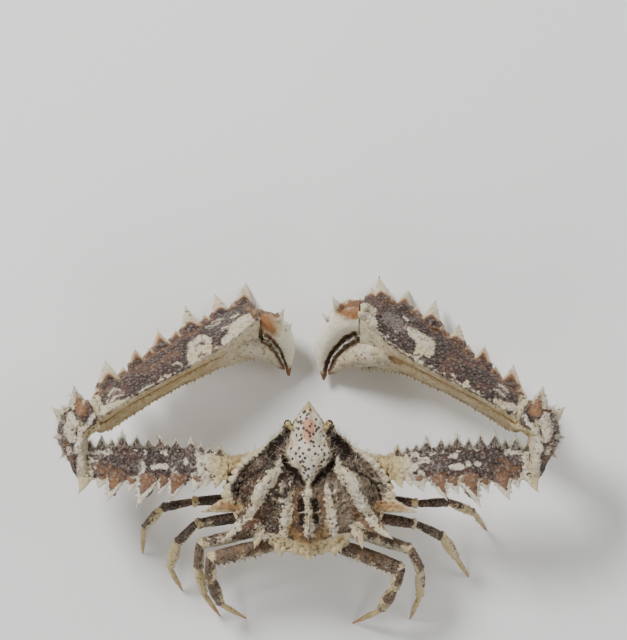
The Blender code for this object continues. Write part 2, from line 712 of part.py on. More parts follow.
def abdomen():
    """The tail flap, folded forward under the breast plates."""
    thicknesses = (TAIL_THICKNESS,) * len(TAIL_LINE)
    return mesh_object("abdomen", *tube(TAIL_LINE, TAIL_WIDTHS, thicknesses, 10, stations=10), "underside")


def maxilliped(side, mirrored):
    """One of the two doors that close the mouth: a plate with round shoulders and a bevel in front."""
    low, high = np.array(DOOR_FOOT), np.array(DOOR_HEAD)
    outward = unit(np.cross(high - low, (1, 0, 0)))
    outline = ((-1, 0), (1, 0.04), (1, 0.9), (0.6, 1.0), (-0.6, 1.0), (-1, 0.95))
    rings = []
    for depth, inset in ((0.0, 0.2), (0.25, 0.0), (DOOR_THICKNESS, 0.0)):
        ring = []
        for across, share in outline:
            place = low + (high - low) * (share * (1 - inset / 4) + inset / 8)
            sideways = np.array((across * (DOOR_HALF_WIDTH - inset), 0, 0))
            ring.append(place + sideways + outward * (depth - DOOR_THICKNESS / 2))
        rings.append(ring)
    return mesh_object(f"maxilliped_{side}", *skin_rings(rings), "underside", mirrored)


def edge_spine(rng, edge, place, reach, across=0.62, spread=1.0):
    """A spine on an edge, at a share of the way along it. reach is the way from its root to its tip."""
    root, along = on_line(edge, place)
    reach = np.array(reach, float) * rng.uniform(0.93, 1.07)
    length = float(np.linalg.norm(reach))
    width = (0.62 + 0.46 * length) * spread
    sides = 6 if length > SHORT_SPINE else 5
    return spine(root - reach / length * 0.25, root + reach, width, width * across, along, sides, sink=0.45)


def claw_base(side, mirrored):
    """The short first articles of the claw, from the thorax to the long arm."""
    body = tube(CLAW_BASE_LINE, CLAW_BASE_SIZES, CLAW_BASE_SIZES, 9, None, (1, 0, 0), 6)
    made = mesh_object(f"claw_{side}_ischium", *body, "shell_pale", mirrored)
    return trim(made, (SHOULDER_PLANE[0] - GAP / 2, *SHOULDER_PLANE[1:]), (1, 0, 0), mirrored)


def joined(body, pieces, mirrored):
    """Fuses spines and other closed pieces, given as points and faces, to the body."""
    names = (f"{body.name}_{k}" for k in range(len(pieces)))
    return fuse(body, [mesh_object(name, *piece, None, mirrored) for name, piece in zip(names, pieces)])


def claw_merus(side, mirrored, rng):
    """The arm of the claw: a three-sided bar with a row of teeth in front and spines behind."""
    edges = [MERUS_EDGES[name] for name in ("front", "back", "keel")]
    name = f"claw_{side}_merus"
    made = mesh_object(name, *prism(edges, (0.9, 0.5, 0.5), 9, 3), "shell_dark", mirrored)
    pieces = [
        edge_spine(rng, MERUS_EDGES["front"], place, (0, -length, 0.1 * length))
        for place, length in MERUS_FRONT_SPINES
    ]
    pieces += [
        edge_spine(rng, MERUS_EDGES["back"], place, (0.2 * length, length, 0.5 * length), spread=1.1)
        for place, length in MERUS_BACK_SPINES
    ]
    joined(made, pieces, mirrored)
    trim(made, (SHOULDER_PLANE[0] + GAP / 2, *SHOULDER_PLANE[1:]), (-1, 0, 0), mirrored)
    return trim(made, (ELBOW_PLANE[0] - GAP / 2, *ELBOW_PLANE[1:]), (1, 0, 0), mirrored)


def claw_carpus(side, mirrored, merus):
    """The elbow block between arm and hand."""
    outline = smooth_line([*CARPUS_OUTLINE, CARPUS_OUTLINE[0]], 25)[:-1]
    cx, cy, cz = CARPUS_MIDDLE

    def top(x, y, share):
        return cz + CARPUS_HALF_HEIGHT * (1 - 0.62 * share**3.0) + 0.3 * hump(y + 6.0, 3.0)

    def bottom(x, y, share):
        return cz - CARPUS_HALF_HEIGHT * (1 - 0.62 * share**3.0)

    name = f"claw_{side}_carpus"
    made = mesh_object(name, *pillow(outline, (cx, cy), top, bottom, 5), "shell_dark", mirrored)
    pieces = [spine(*part, (0.5, 1, 0), sink=0.9) for part in CARPUS_SPINES]
    joined(made, pieces, mirrored)
    trim(made, np.array(WRIST_PLANE) - np.array(WRIST_FACING) * GAP / 2, WRIST_FACING, mirrored)
    return cut(made, clearance(merus))


def claw_palm(side, mirrored, rng):
    """The hand of the claw, with the fixed finger: a three-sided bar that widens to the fingers."""
    hand = HANDS[side]
    name = f"claw_{side}_palm"
    edges = [hand["outer"], hand["crest"], hand["inner"]]
    made = mesh_object(name, *prism(edges, (0.8, 0.5, 0.5), 10, 3), "shell_dark", mirrored)
    plane, facing = np.array(hand["finger_plane"]), np.array(hand["finger_facing"])
    trim(made, plane - facing * GAP / 2, facing, mirrored)
    pieces = [
        edge_spine(rng, hand["outer"], place, (0, -forwards, -drop), spread=1.1)
        for place, forwards, drop in hand["spines"]
    ]
    pieces += [
        edge_spine(rng, hand["crest"], place, (-0.1 * length, -0.2 * length, length))
        for place, length in PALM_CREST_SPINES
    ]
    tooth = np.array((0.15, 1, -0.1)) * PALM_INNER_TOOTH
    pieces += [
        edge_spine(rng, hand["inner"], (k + 0.6) / PALM_INNER_TOOTH_COUNT, tooth, across=0.8, spread=0.9)
        for k in range(PALM_INNER_TOOTH_COUNT)
    ]
    pieces.append(tube(hand["pollex"], hand["pollex_widths"], hand["pollex_heights"], 8, stations=7))
    joined(made, pieces, mirrored)
    trim(made, np.array(WRIST_PLANE) + np.array(WRIST_FACING) * GAP / 2, -np.array(WRIST_FACING), mirrored)
    return trim(made, (0, 0, FLOOR), (0, 0, -1), mirrored)


def claw_dactyl(side, mirrored, palm):
    """The moving finger of the claw."""
    hand = HANDS[side]
    plane, facing = np.array(hand["finger_plane"]), np.array(hand["finger_facing"])
    body = tube(hand["dactyl"], hand["dactyl_widths"], hand["dactyl_heights"], 9, facing, None, 9)
    made = mesh_object(f"claw_{side}_dactylus", *body, "shell_pale", mirrored)
    joined(made, [spine(*part, (1, 0.2, 0.2), sink=0.9) for part in hand["hinge_spines"]], mirrored)
    trim(made, plane + facing * GAP / 2, -facing, mirrored)
    trim(made, (0, 0, FLOOR), (0, 0, -1), mirrored)
    return cut(made, clearance(palm))


def leg_joints(side, number):
    """The six points of a leg: inside the thorax, at its wall, at each joint, and on the floor."""
    root, reaches, headings = LEGS[side, number]
    heights = [*LEG_JOINT_HEIGHTS[number], FLOOR]
    joints = [np.array((*root, LEG_ROOT_HEIGHTS[number]))]
    for reach, heading, height in zip(reaches, headings, heights):
        turn = math.radians(heading)
        x, y = joints[-1][0] + reach * math.cos(turn), joints[-1][1] + reach * math.sin(turn)
        joints.append(np.array((x, y, height)))
    return joints


def leg(side, mirrored, number):
    """Four articles from the thorax to a small flat on the floor, each pair parted where the leg bends."""
    joints = leg_joints(side, number)
    size = LEG_SIZE[number]
    directions = [unit(joints[k + 1] - joints[k]) for k in range(4)]
    planes = [None, *(unit(directions[k] + directions[k + 1]) for k in range(3)), np.array((0.0, 0.0, -1.0))]
    made = []
    for k, (article, sizes) in enumerate(LEG_ARTICLES.items()):
        start = joints[k] + (planes[k] * GAP / 2 if k else np.array(LEG_INNER_END))
        end = joints[k + 1] - (planes[k + 1] * GAP / 2 if k < 3 else 0)
        middle = (start + end) / 2 + (0, 0, LEG_BOW)
        widths, heights = (np.array(values) * size for values in sizes)
        line = smooth_line([start, middle, end], len(widths))
        body = tube(line, widths, heights, LEG_SIDES, planes[k], planes[k + 1])
        made.append(mesh_object(f"leg{number}_{side}_{article}", *body, "leg_tan", mirrored))
    if number == 5:
        made[0] = hind_teeth(made[0], joints, size, mirrored)
    return made


def hind_teeth(merus, joints, size, mirrored):
    """The row of small teeth on the hind edge of the last pair of legs."""
    along = unit(joints[1] - joints[0])
    out = unit(np.cross((0, 0, 1), along))
    pieces = []
    for k in range(HIND_TOOTH_COUNT):
        share = 0.28 + 0.62 * k / (HIND_TOOTH_COUNT - 1)
        root = joints[0] + (joints[1] - joints[0]) * share + out * 0.8 * size
        tip = root + out * (HIND_TOOTH if k % 2 else HIND_TOOTH * 0.7) + np.array((0, 0, -0.1))
        pieces.append(spine(root, tip, 0.85, 0.75, along, 5, sink=0.4))
    return joined(merus, pieces, mirrored)


def claw(side, mirrored):
    rng = random.Random(SEED + (1 if mirrored else 0))
    base = claw_base(side, mirrored)
    merus = claw_merus(side, mirrored, rng)
    claw_carpus(side, mirrored, merus)
    palm = claw_palm(side, mirrored, rng)
    claw_dactyl(side, mirrored, palm)
    return base, merus


def main():
    clear_scene()
    back = carapace()
    breast = thorax()
    tail = abdomen()
    cut(tail, clearance(breast), clearance(back))
    for side, mirrored in (("left", False), ("right", True)):
        ball = eye(side, mirrored)
        cut(back, clearance(ball))
        sizes = (ANTENNULE, ANTENNULE_RADII, ANTENNULE_LEAN)
        antennule = ellipsoid(f"antennule_{side}", *sizes, "underside", mirrored)
        cut(antennule, clearance(back))
        door = maxilliped(side, mirrored)
        cut(door, clearance(back), clearance(breast))
        base, merus = claw(side, mirrored)
        cut(base, clearance(breast), clearance(back))
        cut(merus, clearance(back))
        for number in (2, 3, 4, 5):
            first = leg(side, mirrored, number)[0]
            cut(first, clearance(breast), clearance(back), clearance(tail))
    for made in [item for item in bpy.data.objects if item.name.endswith("_clearance")]:
        bpy.data.objects.remove(made)
    for made in bpy.data.objects:
        smoothed(made)


main()
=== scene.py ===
# %% [markdown]
# # Dressing an elbow crab
# An elbow crab (Enoplolambrus pransor) has a small shield of a back, two very long three-sided claws and
# four pairs of thin legs. Its solids are already made, one for each article of the shell. This lesson
# gives every article a finer skin, paints the crab's markings on it, and lights it in a plain studio.
# We work in millimetres, as a maker would, and scale each finished piece to metres.

# %% Load the crab's frame
import itertools
import math
import random

import bmesh
import bpy
import numpy as np
from mathutils import Matrix, Vector
from mathutils.kdtree import KDTree


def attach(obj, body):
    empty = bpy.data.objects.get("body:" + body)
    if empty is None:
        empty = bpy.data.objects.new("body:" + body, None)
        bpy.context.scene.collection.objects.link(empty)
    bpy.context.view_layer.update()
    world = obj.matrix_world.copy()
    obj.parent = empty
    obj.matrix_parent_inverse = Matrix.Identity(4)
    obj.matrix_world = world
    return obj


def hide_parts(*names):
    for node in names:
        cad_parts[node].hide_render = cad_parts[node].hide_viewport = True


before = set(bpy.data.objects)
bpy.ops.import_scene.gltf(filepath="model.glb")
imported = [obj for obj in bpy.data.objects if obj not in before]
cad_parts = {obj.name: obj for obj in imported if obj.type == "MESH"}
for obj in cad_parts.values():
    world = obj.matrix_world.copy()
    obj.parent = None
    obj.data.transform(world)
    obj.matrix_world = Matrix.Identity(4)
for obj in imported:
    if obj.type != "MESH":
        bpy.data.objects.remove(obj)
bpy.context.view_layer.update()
print("the frame has", len(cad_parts), "nodes")

# %% Units, and the seed of every random draw
MM = 0.001
GAP = 0.3
FLOOR = 0.0
SEED = 7
SIDES = (("left", False), ("right", True))

# %% [markdown]
# ## Lines
# A crab's shell has no straight edges, so each edge is a smooth curve through a few chosen points. The
# Catmull-Rom curve is the simplest one that passes through its own points, which makes it easy to steer.

# %% Smooth curves
def unit(vector):
    vector = np.array(vector, float)
    return vector / np.linalg.norm(vector, axis=-1, keepdims=True)


def smooth_line(points, count):
    """count points on the Catmull-Rom curve through the given points, or through single values."""
    points = np.array(points, float)
    before, after = 2 * points[0] - points[1], 2 * points[-1] - points[-2]
    knots = np.concatenate([before[None], points, after[None]])
    places = np.linspace(0, len(points) - 1, count)
    spans = np.minimum(places.astype(int), len(points) - 2)
    t = (places - spans).reshape(-1, *[1] * (points.ndim - 1))
    a, b, c, d = (knots[spans + k] for k in range(4))
    return 0.5 * (2 * b + (c - a) * t + (2 * a - 5 * b + 4 * c - d) * t**2 + (3 * b - a - 3 * c + d) * t**3)


def on_line(points, place):
    """The point at a share 0 to 1 of the curve's knots, and the direction there."""
    fine = smooth_line(points, 101)
    at = min(max(place, 0.0), 1.0) * 100
    low = min(int(at), 99)
    point = fine[low] + (fine[low + 1] - fine[low]) * (at - low)
    return point, unit(fine[min(low + 2, 100)] - fine[max(low - 1, 0)])


# %% [markdown]
# ## Bodies
# Every article is one of three simple bodies: a bar between three edges, a tube along a line, or a pillow
# over a plan outline. All three are stacks of rings, so one function turns rings into a closed body.

# %% Rings to closed bodies
def skin_rings(rings):
    """Points and faces of the closed body through rings of equal counts."""
    rings = np.array(rings, float)
    rows, count = rings.shape[:2]
    here = np.arange(rows * count).reshape(rows, count)
    beside = np.roll(here, -1, axis=1)
    quads = np.stack([here[:-1], beside[:-1], beside[1:], here[1:]], axis=-1).reshape(-1, 4).tolist()
    return rings.reshape(-1, 3), [*quads, here[0][::-1].tolist(), here[-1].tolist()]


def prism(edges, bulges, stations=64, steps=9):
    """A bar between three edges. Each side between two edges swells outwards by its bulge."""
    corners = np.stack([smooth_line(edge, stations) for edge in edges], axis=1)
    ends = np.roll(corners, -1, axis=1)
    outward = unit((corners + ends) / 2 - corners.mean(axis=1, keepdims=True))
    share = (np.arange(steps) / steps)[:, None]
    swell = np.array(bulges)[:, None, None] * 4 * share * (1 - share)
    rings = corners[:, :, None] + (ends - corners)[:, :, None] * share + outward[:, :, None] * swell
    return skin_rings(rings.reshape(stations, -1, 3))


def tube(line, widths, heights, sides=24, first_normal=None, last_normal=None, stations=40):
    """A body of elliptical section along a line. Widths lie level and heights across them."""
    middle = smooth_line(line, stations)
    wide = smooth_line(widths, stations)[:, None, None]
    high = smooth_line(heights, stations)[:, None, None]
    along = unit(np.gradient(middle, axis=0))
    if first_normal is not None:
        along[0] = unit(first_normal)
    if last_normal is not None:
        along[-1] = unit(last_normal)
    level = np.cross((0, 0, 1), along)
    steep = np.linalg.norm(level, axis=1) < 0.2
    level[steep] = np.cross((0, 0, 1), unit(middle[-1] - middle[0]))
    level = unit(level)
    upward = unit(np.cross(along, level))
    turns = 2 * np.pi * (np.arange(sides) + 0.5) / sides
    rings = middle[:, None] + level[:, None] * np.cos(turns)[:, None] * wide / 2
    return skin_rings(rings + upward[:, None] * np.sin(turns)[:, None] * high / 2)


def pillow(outline, middle, top, bottom, rings):
    """A body over a plan outline, between two height functions of (x, y, share of the way to the edge)."""
    shares = (np.arange(rings, -1, -1) / rings) ** 0.9
    shares[-1] = 0.01
    plans = [np.array(middle) + (outline - middle) * share for share in shares]
    lower = [np.column_stack([p, bottom(p[:, 0], p[:, 1], s)]) for p, s in zip(plans, shares)]
    upper = [np.column_stack([p, top(p[:, 0], p[:, 1], s)]) for p, s in zip(plans, shares)]
    return skin_rings([*lower[::-1], *upper])


def whole_outline(half, count):
    """A closed outline from its right half, smoothed, with the ends on the middle line."""
    side = smooth_line(half, count)
    side[0][0] = side[-1][0] = 0.0
    return np.vstack([side, side[1:-1][::-1] * (-1, 1)])


# %% [markdown]
# Spines, knobs and teeth grow from the articles. A spine thins faster near its root than near its tip, as
# a thorn does, and hooks a little. A knob is a small egg. Both are closed bodies that sink into the shell.

# %% Spines and knobs
SPINE_TAPER = 1.05
SPINE_TIP = 0.06
SPINE_FOOT = 1.12
SPINE_STAGES = 9
TIP_LOSS = 0.16


def spine(root, tip, width, thickness, across, sides=12, sink=0.5, hook=(0, 0, 0), taper=SPINE_TAPER):
    """A tapered spine. across is the direction of its width, and hook bends its middle off the straight."""
    root, tip, hook = (np.array(v, float) for v in (root, tip, hook))
    out = unit(tip - root)
    tip = tip + out * TIP_LOSS
    length = np.linalg.norm(tip - root)
    wide = unit(np.array(across, float) - out * np.dot(across, out))
    thick = np.cross(out, wide)
    shares = np.concatenate([[-sink / length], np.linspace(0.0, 1.0, SPINE_STAGES)])[:, None, None]
    sizes = np.maximum(np.clip(1 - shares, 0, 1) ** taper, SPINE_TIP)
    sizes[0] = SPINE_FOOT
    turns = (2 * np.pi * np.arange(sides) / sides)[:, None]
    bend = hook * 4 * np.clip(shares, 0, 1) * (1 - shares)
    rings = root + (tip - root) * shares + bend
    rings = rings + wide * np.cos(turns) * width / 2 * sizes
    return skin_rings(rings + thick * np.sin(turns) * thickness / 2 * sizes)


def knob(centre, radii, axes=np.eye(3), rows=10, sides=14):
    """An egg-shaped body. The rows of axes are the directions of its three radii."""
    polar = np.linspace(0.03, math.pi - 0.03, rows)[:, None]
    turns = 2 * np.pi * np.arange(sides) / sides
    level = np.sin(polar)
    egg = np.stack([level * np.cos(turns), level * np.sin(turns), np.cos(polar) + 0 * turns], axis=-1)
    return skin_rings((egg * np.array(radii)) @ np.array(axes, float) + np.array(centre, float))


def trimmed(part, point, facing):
    """The part cut flat at a plane, without what lies on the side that the plane faces."""
    shape = bmesh.new()
    corners = [shape.verts.new(p) for p in part[0]]
    for face in part[1]:
        shape.faces.new([corners[k] for k in face])
    geometry = [*shape.verts, *shape.edges, *shape.faces]
    plane = {"plane_co": Vector(point), "plane_no": Vector(facing)}
    result = bmesh.ops.bisect_plane(shape, geom=geometry, dist=1e-5, clear_outer=True, **plane)
    rim = [item for item in result["geom_cut"] if isinstance(item, bmesh.types.BMEdge)]
    bmesh.ops.contextual_create(shape, geom=rim)
    shape.verts.index_update()
    points = np.array([v.co for v in shape.verts])
    faces = [[v.index for v in face.verts] for face in shape.faces]
    shape.free()
    return points, faces


# %% [markdown]
# ## One skin from many bodies
# A spine and the shell it grows from are one piece of chitin, with a small fillet at the root. Blender's
# voxel remesh gives just that: it wraps overlapping closed bodies in one even skin, and a little smoothing
# rounds the roots. The even skin also has points close enough together to carry granules and markings.

# %% Fusing bodies into a skin
def linked(name, data):
    """A new object of the scene."""
    made = bpy.data.objects.new(name, data)
    bpy.context.scene.collection.objects.link(made)
    return made


def fused(name, parts, voxel, smoothing):
    """A new mesh: one fine skin around closed parts that overlap."""
    starts = np.cumsum([0, *(len(part[0]) for part in parts)])
    faces = [[k + start for k in face] for (_, part), start in zip(parts, starts) for face in part]
    mesh = bpy.data.meshes.new(name)
    mesh.from_pydata(np.vstack([part[0] for part in parts]).tolist(), [], faces)
    shape = bmesh.new()
    shape.from_mesh(mesh)
    bmesh.ops.recalc_face_normals(shape, faces=shape.faces)
    shape.to_mesh(mesh)
    shape.free()
    body = linked(name, mesh)
    remesh = body.modifiers.new("skin", "REMESH")
    remesh.mode = "VOXEL"
    remesh.voxel_size = voxel
    soften = body.modifiers.new("soften", "SMOOTH")
    soften.factor = 0.5
    soften.iterations = smoothing
    bpy.context.view_layer.update()
    graph = bpy.context.evaluated_depsgraph_get()
    skin = bpy.data.meshes.new_from_object(body.evaluated_get(graph))
    bpy.data.objects.remove(body)
    bpy.data.meshes.remove(mesh)
    return skin


# %% A shell piece while it is worked on
FIELDS = {"pale": -3.0, "warm": 0.0, "rust": -3.0, "ochre": -3.0, "blush": -3.0, "dark": -3.0, "pit": -3.0,
          "fleck": 0.4, "granule": 0.0}
PIECES = []
# Smoothing rounds and depth of the hollow field, which sets painted shade in crevices and a painted
# highlight on crests
HOLLOW_ROUNDS = 10
HOLLOW_DEPTH = 0.07


def set_in_place(name, mesh, nodes):
    """A finished mesh as a piece of the crab. It rides the root body and replaces its CAD nodes."""
    piece = linked(name, mesh)
    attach(piece, "root")
    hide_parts(*nodes)
    PIECES.append(piece)


class Skin:
    """Points and normals of one shell piece in millimetres, and the fields that its colours come from.

    A field says how far a point lies inside a marking, in millimetres: over 0 on it and under 0 beside it.
    Warm, fleck and granule are shares from 0 to 1 instead.
    """

    def __init__(self, name, parts, voxel, smoothing=2):
        self.name = name
        self.mesh = fused(name, parts, voxel, smoothing)
        self.read()
        self.fields = {field: np.full(len(self.points), start) for field, start in FIELDS.items()}

    def read(self):
        points = np.empty(len(self.mesh.vertices) * 3, np.float32)
        self.mesh.vertices.foreach_get("co", points)
        self.points = points.reshape(-1, 3).astype(float)
        normals = np.empty(len(self.mesh.vertices) * 3, np.float32)
        self.mesh.vertex_normals.foreach_get("vector", normals)
        self.normals = normals.reshape(-1, 3).astype(float)

    def move(self, points):
        self.mesh.vertices.foreach_set("co", np.array(points, np.float32).ravel())
        self.mesh.update()
        self.read()

    def lift(self, heights):
        """Moves each point out along its normal."""
        self.move(self.points + self.normals * heights[:, None])

    def stay_above_floor(self):
        self.move(np.column_stack([self.points[:, :2], np.maximum(self.points[:, 2], FLOOR)]))

    def add(self, field, values):
        """Widens a marking by another one, or raises a share to another one."""
        self.fields[field] = np.maximum(self.fields[field], values)

    def cut(self, field, values):
        """Takes a shape out of a marking."""
        self.fields[field] = np.minimum(self.fields[field], -values)

    def hollows(self):
        """How deep each point lies under its smoothed surroundings: -1 on crests and 1 in crevices."""
        ends = np.empty(len(self.mesh.edges) * 2, np.int32)
        self.mesh.edges.foreach_get("vertices", ends)
        here, there = np.concatenate([ends[0::2], ends[1::2]]), np.concatenate([ends[1::2], ends[0::2]])
        count = len(self.points)
        neighbours = np.maximum(np.bincount(here, minlength=count), 1)
        smooth = self.points
        for _ in range(HOLLOW_ROUNDS):
            sums = [np.bincount(here, weights=smooth[there, axis], minlength=count) for axis in range(3)]
            smooth = np.stack(sums, axis=1) / neighbours[:, None]
        depth = np.einsum("ij,ij->i", smooth - self.points, self.normals)
        return np.clip(depth / HOLLOW_DEPTH, -1, 1)

    def finish(self, material, nodes, mirrored=False):
        """Writes the fields, scales the piece to metres, and puts it in place of its CAD nodes."""
        # hollow carries painted shade into the crevices and a painted highlight onto the crests
        self.fields["hollow"] = self.hollows()
        for field, values in self.fields.items():
            attribute = self.mesh.attributes.new(field, "FLOAT", "POINT")
            attribute.data.foreach_set("value", np.clip(values, -3, 3).astype(np.float32))
        self.mesh.transform(Matrix.Diagonal((-MM if mirrored else MM, MM, MM, 1)))
        if mirrored:
            self.mesh.flip_normals()
        self.mesh.shade_smooth()
        self.mesh.materials.clear()
        self.mesh.materials.append(material)
        set_in_place(self.name, self.mesh, nodes)
        print(f"{self.name}: {len(self.mesh.polygons)} faces")


# %% [markdown]
# ## Grain, granules and painted strokes
# Three small tools shape and paint the skins. Grain is smooth random noise, for uneven relief. Granules
# are little beads, one in each cell of a grid of cubes, which spaces them like the real ones. A stroke is
# a painted line with a width at each of its points, given in the plan view that the crab is seen from.

# %% Smooth random grain
def corner_values(corners, seed):
    """A steady random number from -1 to 1 for each whole-number corner of a grid."""
    x, y, z = corners.T
    mixed = x * 73856093 ^ y * 19349663 ^ z * 83492791 ^ (seed + 1) * 2654435
    mixed = (mixed ^ (mixed >> 13)) * 1274126177
    return ((mixed ^ (mixed >> 16)) & 0xFFFF) / 32767.5 - 1


def grain(points, size, seed=0, octaves=3):
    """Smooth random values of about -1 to 1 that change over the given size in millimetres."""
    total = np.zeros(len(points))
    for octave in range(octaves):
        scaled = points * 2**octave / size + 17.3 * (seed + octave + 1)
        cell = np.floor(scaled).astype(np.int64)
        part = scaled - cell
        part = part * part * (3 - 2 * part)
        for corner in itertools.product((0, 1), repeat=3):
            share = np.prod(np.where(corner, part, 1 - part), axis=1)
            total += share * corner_values(cell + corner, seed) / 2**octave
    return total


# %% Granules and pits
def scattered(points, allowed, spacing, seed):
    """Numbers of points picked at random among the allowed ones, one in each cube of the given size."""
    order = np.random.default_rng(seed).permutation(np.flatnonzero(allowed))
    cubes = np.floor(points[order] / spacing).astype(np.int64)
    _, first = np.unique(cubes, axis=0, return_index=True)
    return order[np.sort(first)]


def beads(points, centres, radius, seed=0, spread=0.35):
    """How high each point stands on its nearest bead, from 0 at the rim to 1 on top."""
    if not len(centres):
        return np.zeros(len(points))
    tree = KDTree(len(centres))
    for k, centre in enumerate(centres):
        tree.insert(centre, k)
    tree.balance()
    found = [tree.find(point)[1:] for point in points]
    nearest, away = np.array(found, float).T
    sizes = radius * np.random.default_rng(seed).uniform(1 - spread, 1 + spread, len(centres))
    return np.clip(1 - (away / sizes[nearest.astype(int)]) ** 2, 0, 1)


# %% Painted strokes
def stroke(plan, line):
    """How far each plan point lies inside a stroke. The line's points are (x, y, half width)."""
    line = np.array(line, float)
    inside = line[0, 2] - np.linalg.norm(plan - line[0, :2], axis=1)
    for start, end in zip(line[:-1], line[1:]):
        span = end[:2] - start[:2]
        share = np.clip((plan - start[:2]) @ span / (span @ span), 0, 1)
        away = np.linalg.norm(plan - start[:2] - share[:, None] * span, axis=1)
        inside = np.maximum(inside, start[2] + (end[2] - start[2]) * share - away)
    return inside


def strokes(plan, lines):
    return np.max([stroke(plan, line) for line in lines], axis=0)


def wandering(points, seed, amount=0.3, size=1.5):
    """Plan places moved about a little by grain, so that painted edges wander as pigment does."""
    moves = np.column_stack([grain(points, size, seed), grain(points, size, seed + 40)])
    return points[:, :2] + amount * moves


def fleck_map(skin, places, plan, start):
    """Sets the share of flecks on the dark shell, from a start value and places with their own."""
    skin.fields["fleck"][:] = start
    for line, share in places:
        near = np.clip(0.5 + stroke(plan, line), 0, 1)
        skin.fields["fleck"] += (share - skin.fields["fleck"]) * near


# %% Markings of spines
def spine_fields(points, spines, high=0.48, wide=0.66, shift=(0, 0, 0)):
    """Three fields for spines given as (root, tip, width): white rim and tip, dark core, and all of it.

    high and wide are the core's shares of the length and the width. shift moves its root, in widths.
    high may be one number for all spines, or one for each.
    """
    white, core, whole = (np.full(len(points), -3.0) for _ in range(3))
    for (root, tip, width), high in zip(spines, np.broadcast_to(high, len(spines))):
        root, tip = np.array(root, float), np.array(tip, float)
        middle = root + np.array(shift) * width
        length = np.linalg.norm(tip - root)
        share = (points - root) @ (tip - root) / length**2
        level = np.clip(share, 0, 1)[:, None]
        away = np.linalg.norm(points - root - level * (tip - root), axis=1)
        from_core = np.linalg.norm((points - middle - level * (tip - middle)) * (1, 1, 0.35), axis=1)
        reach = width / 2 * np.clip(1 - share, 0.08, 1) ** SPINE_TAPER
        on_it = np.minimum(reach + 0.3 - away, (share - 0.1) * length)
        thinning = np.clip(1 - share / max(high, 0.01), 0, 1) ** 0.6
        inner = np.minimum((high - share) * length, reach * wide * thinning - from_core)
        white = np.maximum(white, np.minimum(on_it, -inner))
        core = np.maximum(core, np.minimum(inner, (share + 0.2) * length))
        whole = np.maximum(whole, on_it)
    return white, core, whole


# %% [markdown]
# ## Shell colours
# A crab's shell isn't painted flat. Dark brown pigment lies in patches over cream chitin, and each patch
# has a ragged edge, pale flecks and paler granules. One node group turns a marking's field into a mask
# with such an edge. The same group serves every marking of every article, each with its own values.

# %% Helpers for nodes
def add(tree, kind, inputs=None, **settings):
    """A new node. An input is linked where its value is a socket, and otherwise set to it."""
    made = tree.nodes.new(kind)
    for name, value in settings.items():
        setattr(made, name, value)
    for name, value in (inputs or {}).items():
        if isinstance(value, bpy.types.NodeSocket):
            tree.links.new(value, made.inputs[name])
        else:
            made.inputs[name].default_value = value
    return made


def new_group(name, inputs, outputs):
    """An empty node group with its sockets. Inputs are name: (kind, value), and outputs name: kind."""
    tree = bpy.data.node_groups.new(name, "ShaderNodeTree")
    for socket, (kind, value) in inputs.items():
        tree.interface.new_socket(socket, in_out="INPUT", socket_type=kind).default_value = value
    for socket, kind in outputs.items():
        tree.interface.new_socket(socket, in_out="OUTPUT", socket_type=kind)
    return tree, tree.nodes.new("NodeGroupInput").outputs, tree.nodes.new("NodeGroupOutput")


def math_node(tree, operation, a, b=0.0, c=0.0):
    made = tree.nodes.new("ShaderNodeMath")
    made.operation = operation
    for socket, value in zip(made.inputs, (a, b, c)):
        if isinstance(value, bpy.types.NodeSocket):
            tree.links.new(value, socket)
        else:
            socket.default_value = value
    return made.outputs[0]


def noise(tree, per_metre, detail=3.0, roughness=0.5):
    """Noise that is 0.5 on average, in the object's own space."""
    place = tree.nodes.new("ShaderNodeTexCoord").outputs["Object"]
    inputs = {"Vector": place, "Scale": per_metre, "Detail": detail, "Roughness": roughness}
    return add(tree, "ShaderNodeTexNoise", inputs).outputs["Fac"]


def ramp(tree, value, low, high, start=0.0, end=1.0):
    inputs = {"Value": value, "From Min": low, "From Max": high, "To Min": start, "To Max": end}
    return add(tree, "ShaderNodeMapRange", inputs, interpolation_type="SMOOTHSTEP").outputs["Result"]


# %% The ragged edge of a marking
def ragged_edge_group():
    inputs = {
        "Field": ("NodeSocketFloat", 0.0),
        "Grain per metre": ("NodeSocketFloat", 1500.0),
        "Ragged": ("NodeSocketFloat", 0.5),
        "Soft": ("NodeSocketFloat", 0.12),
    }
    tree, given, result = new_group("ragged_edge", inputs, {"Mask": "NodeSocketFloat"})
    wobble = math_node(tree, "SUBTRACT", noise(tree, given["Grain per metre"], 5.0, 0.6), 0.5)
    moved = math_node(tree, "MULTIPLY_ADD", wobble, given["Ragged"], given["Field"])
    low = math_node(tree, "MULTIPLY", given["Soft"], -1.0)
    tree.links.new(ramp(tree, moved, low, given["Soft"]), result.inputs["Mask"])
    return tree


RAGGED_EDGE = ragged_edge_group()


# %% [markdown]
# Between the patches the brown shell is covered in pale, worm-like flecks. Two noises multiplied together
# give such short curling marks, and a share from the mesh says how thick they lie at each place.

# %% Pale flecks
def flecks_group():
    inputs = {
        "Share": ("NodeSocketFloat", 0.4),
        "Flecks per metre": ("NodeSocketFloat", 1300.0),
        "Contrast": ("NodeSocketFloat", 0.07),
    }
    tree, given, result = new_group("pale_flecks", inputs, {"Mask": "NodeSocketFloat"})
    coarse = noise(tree, math_node(tree, "MULTIPLY", given["Flecks per metre"], 0.6), 3.0, 0.6)
    fine = noise(tree, math_node(tree, "MULTIPLY", given["Flecks per metre"], 2.2), 3.0, 0.6)
    both = math_node(tree, "MULTIPLY_ADD", fine, 0.75, math_node(tree, "MULTIPLY", coarse, 0.55))
    level = ramp(tree, given["Share"], 0.0, 1.0, 0.86, 0.50)
    low = math_node(tree, "SUBTRACT", level, given["Contrast"])
    high = math_node(tree, "ADD", level, given["Contrast"])
    tree.links.new(ramp(tree, both, low, high), result.inputs["Mask"])
    return tree


FLECKS = flecks_group()


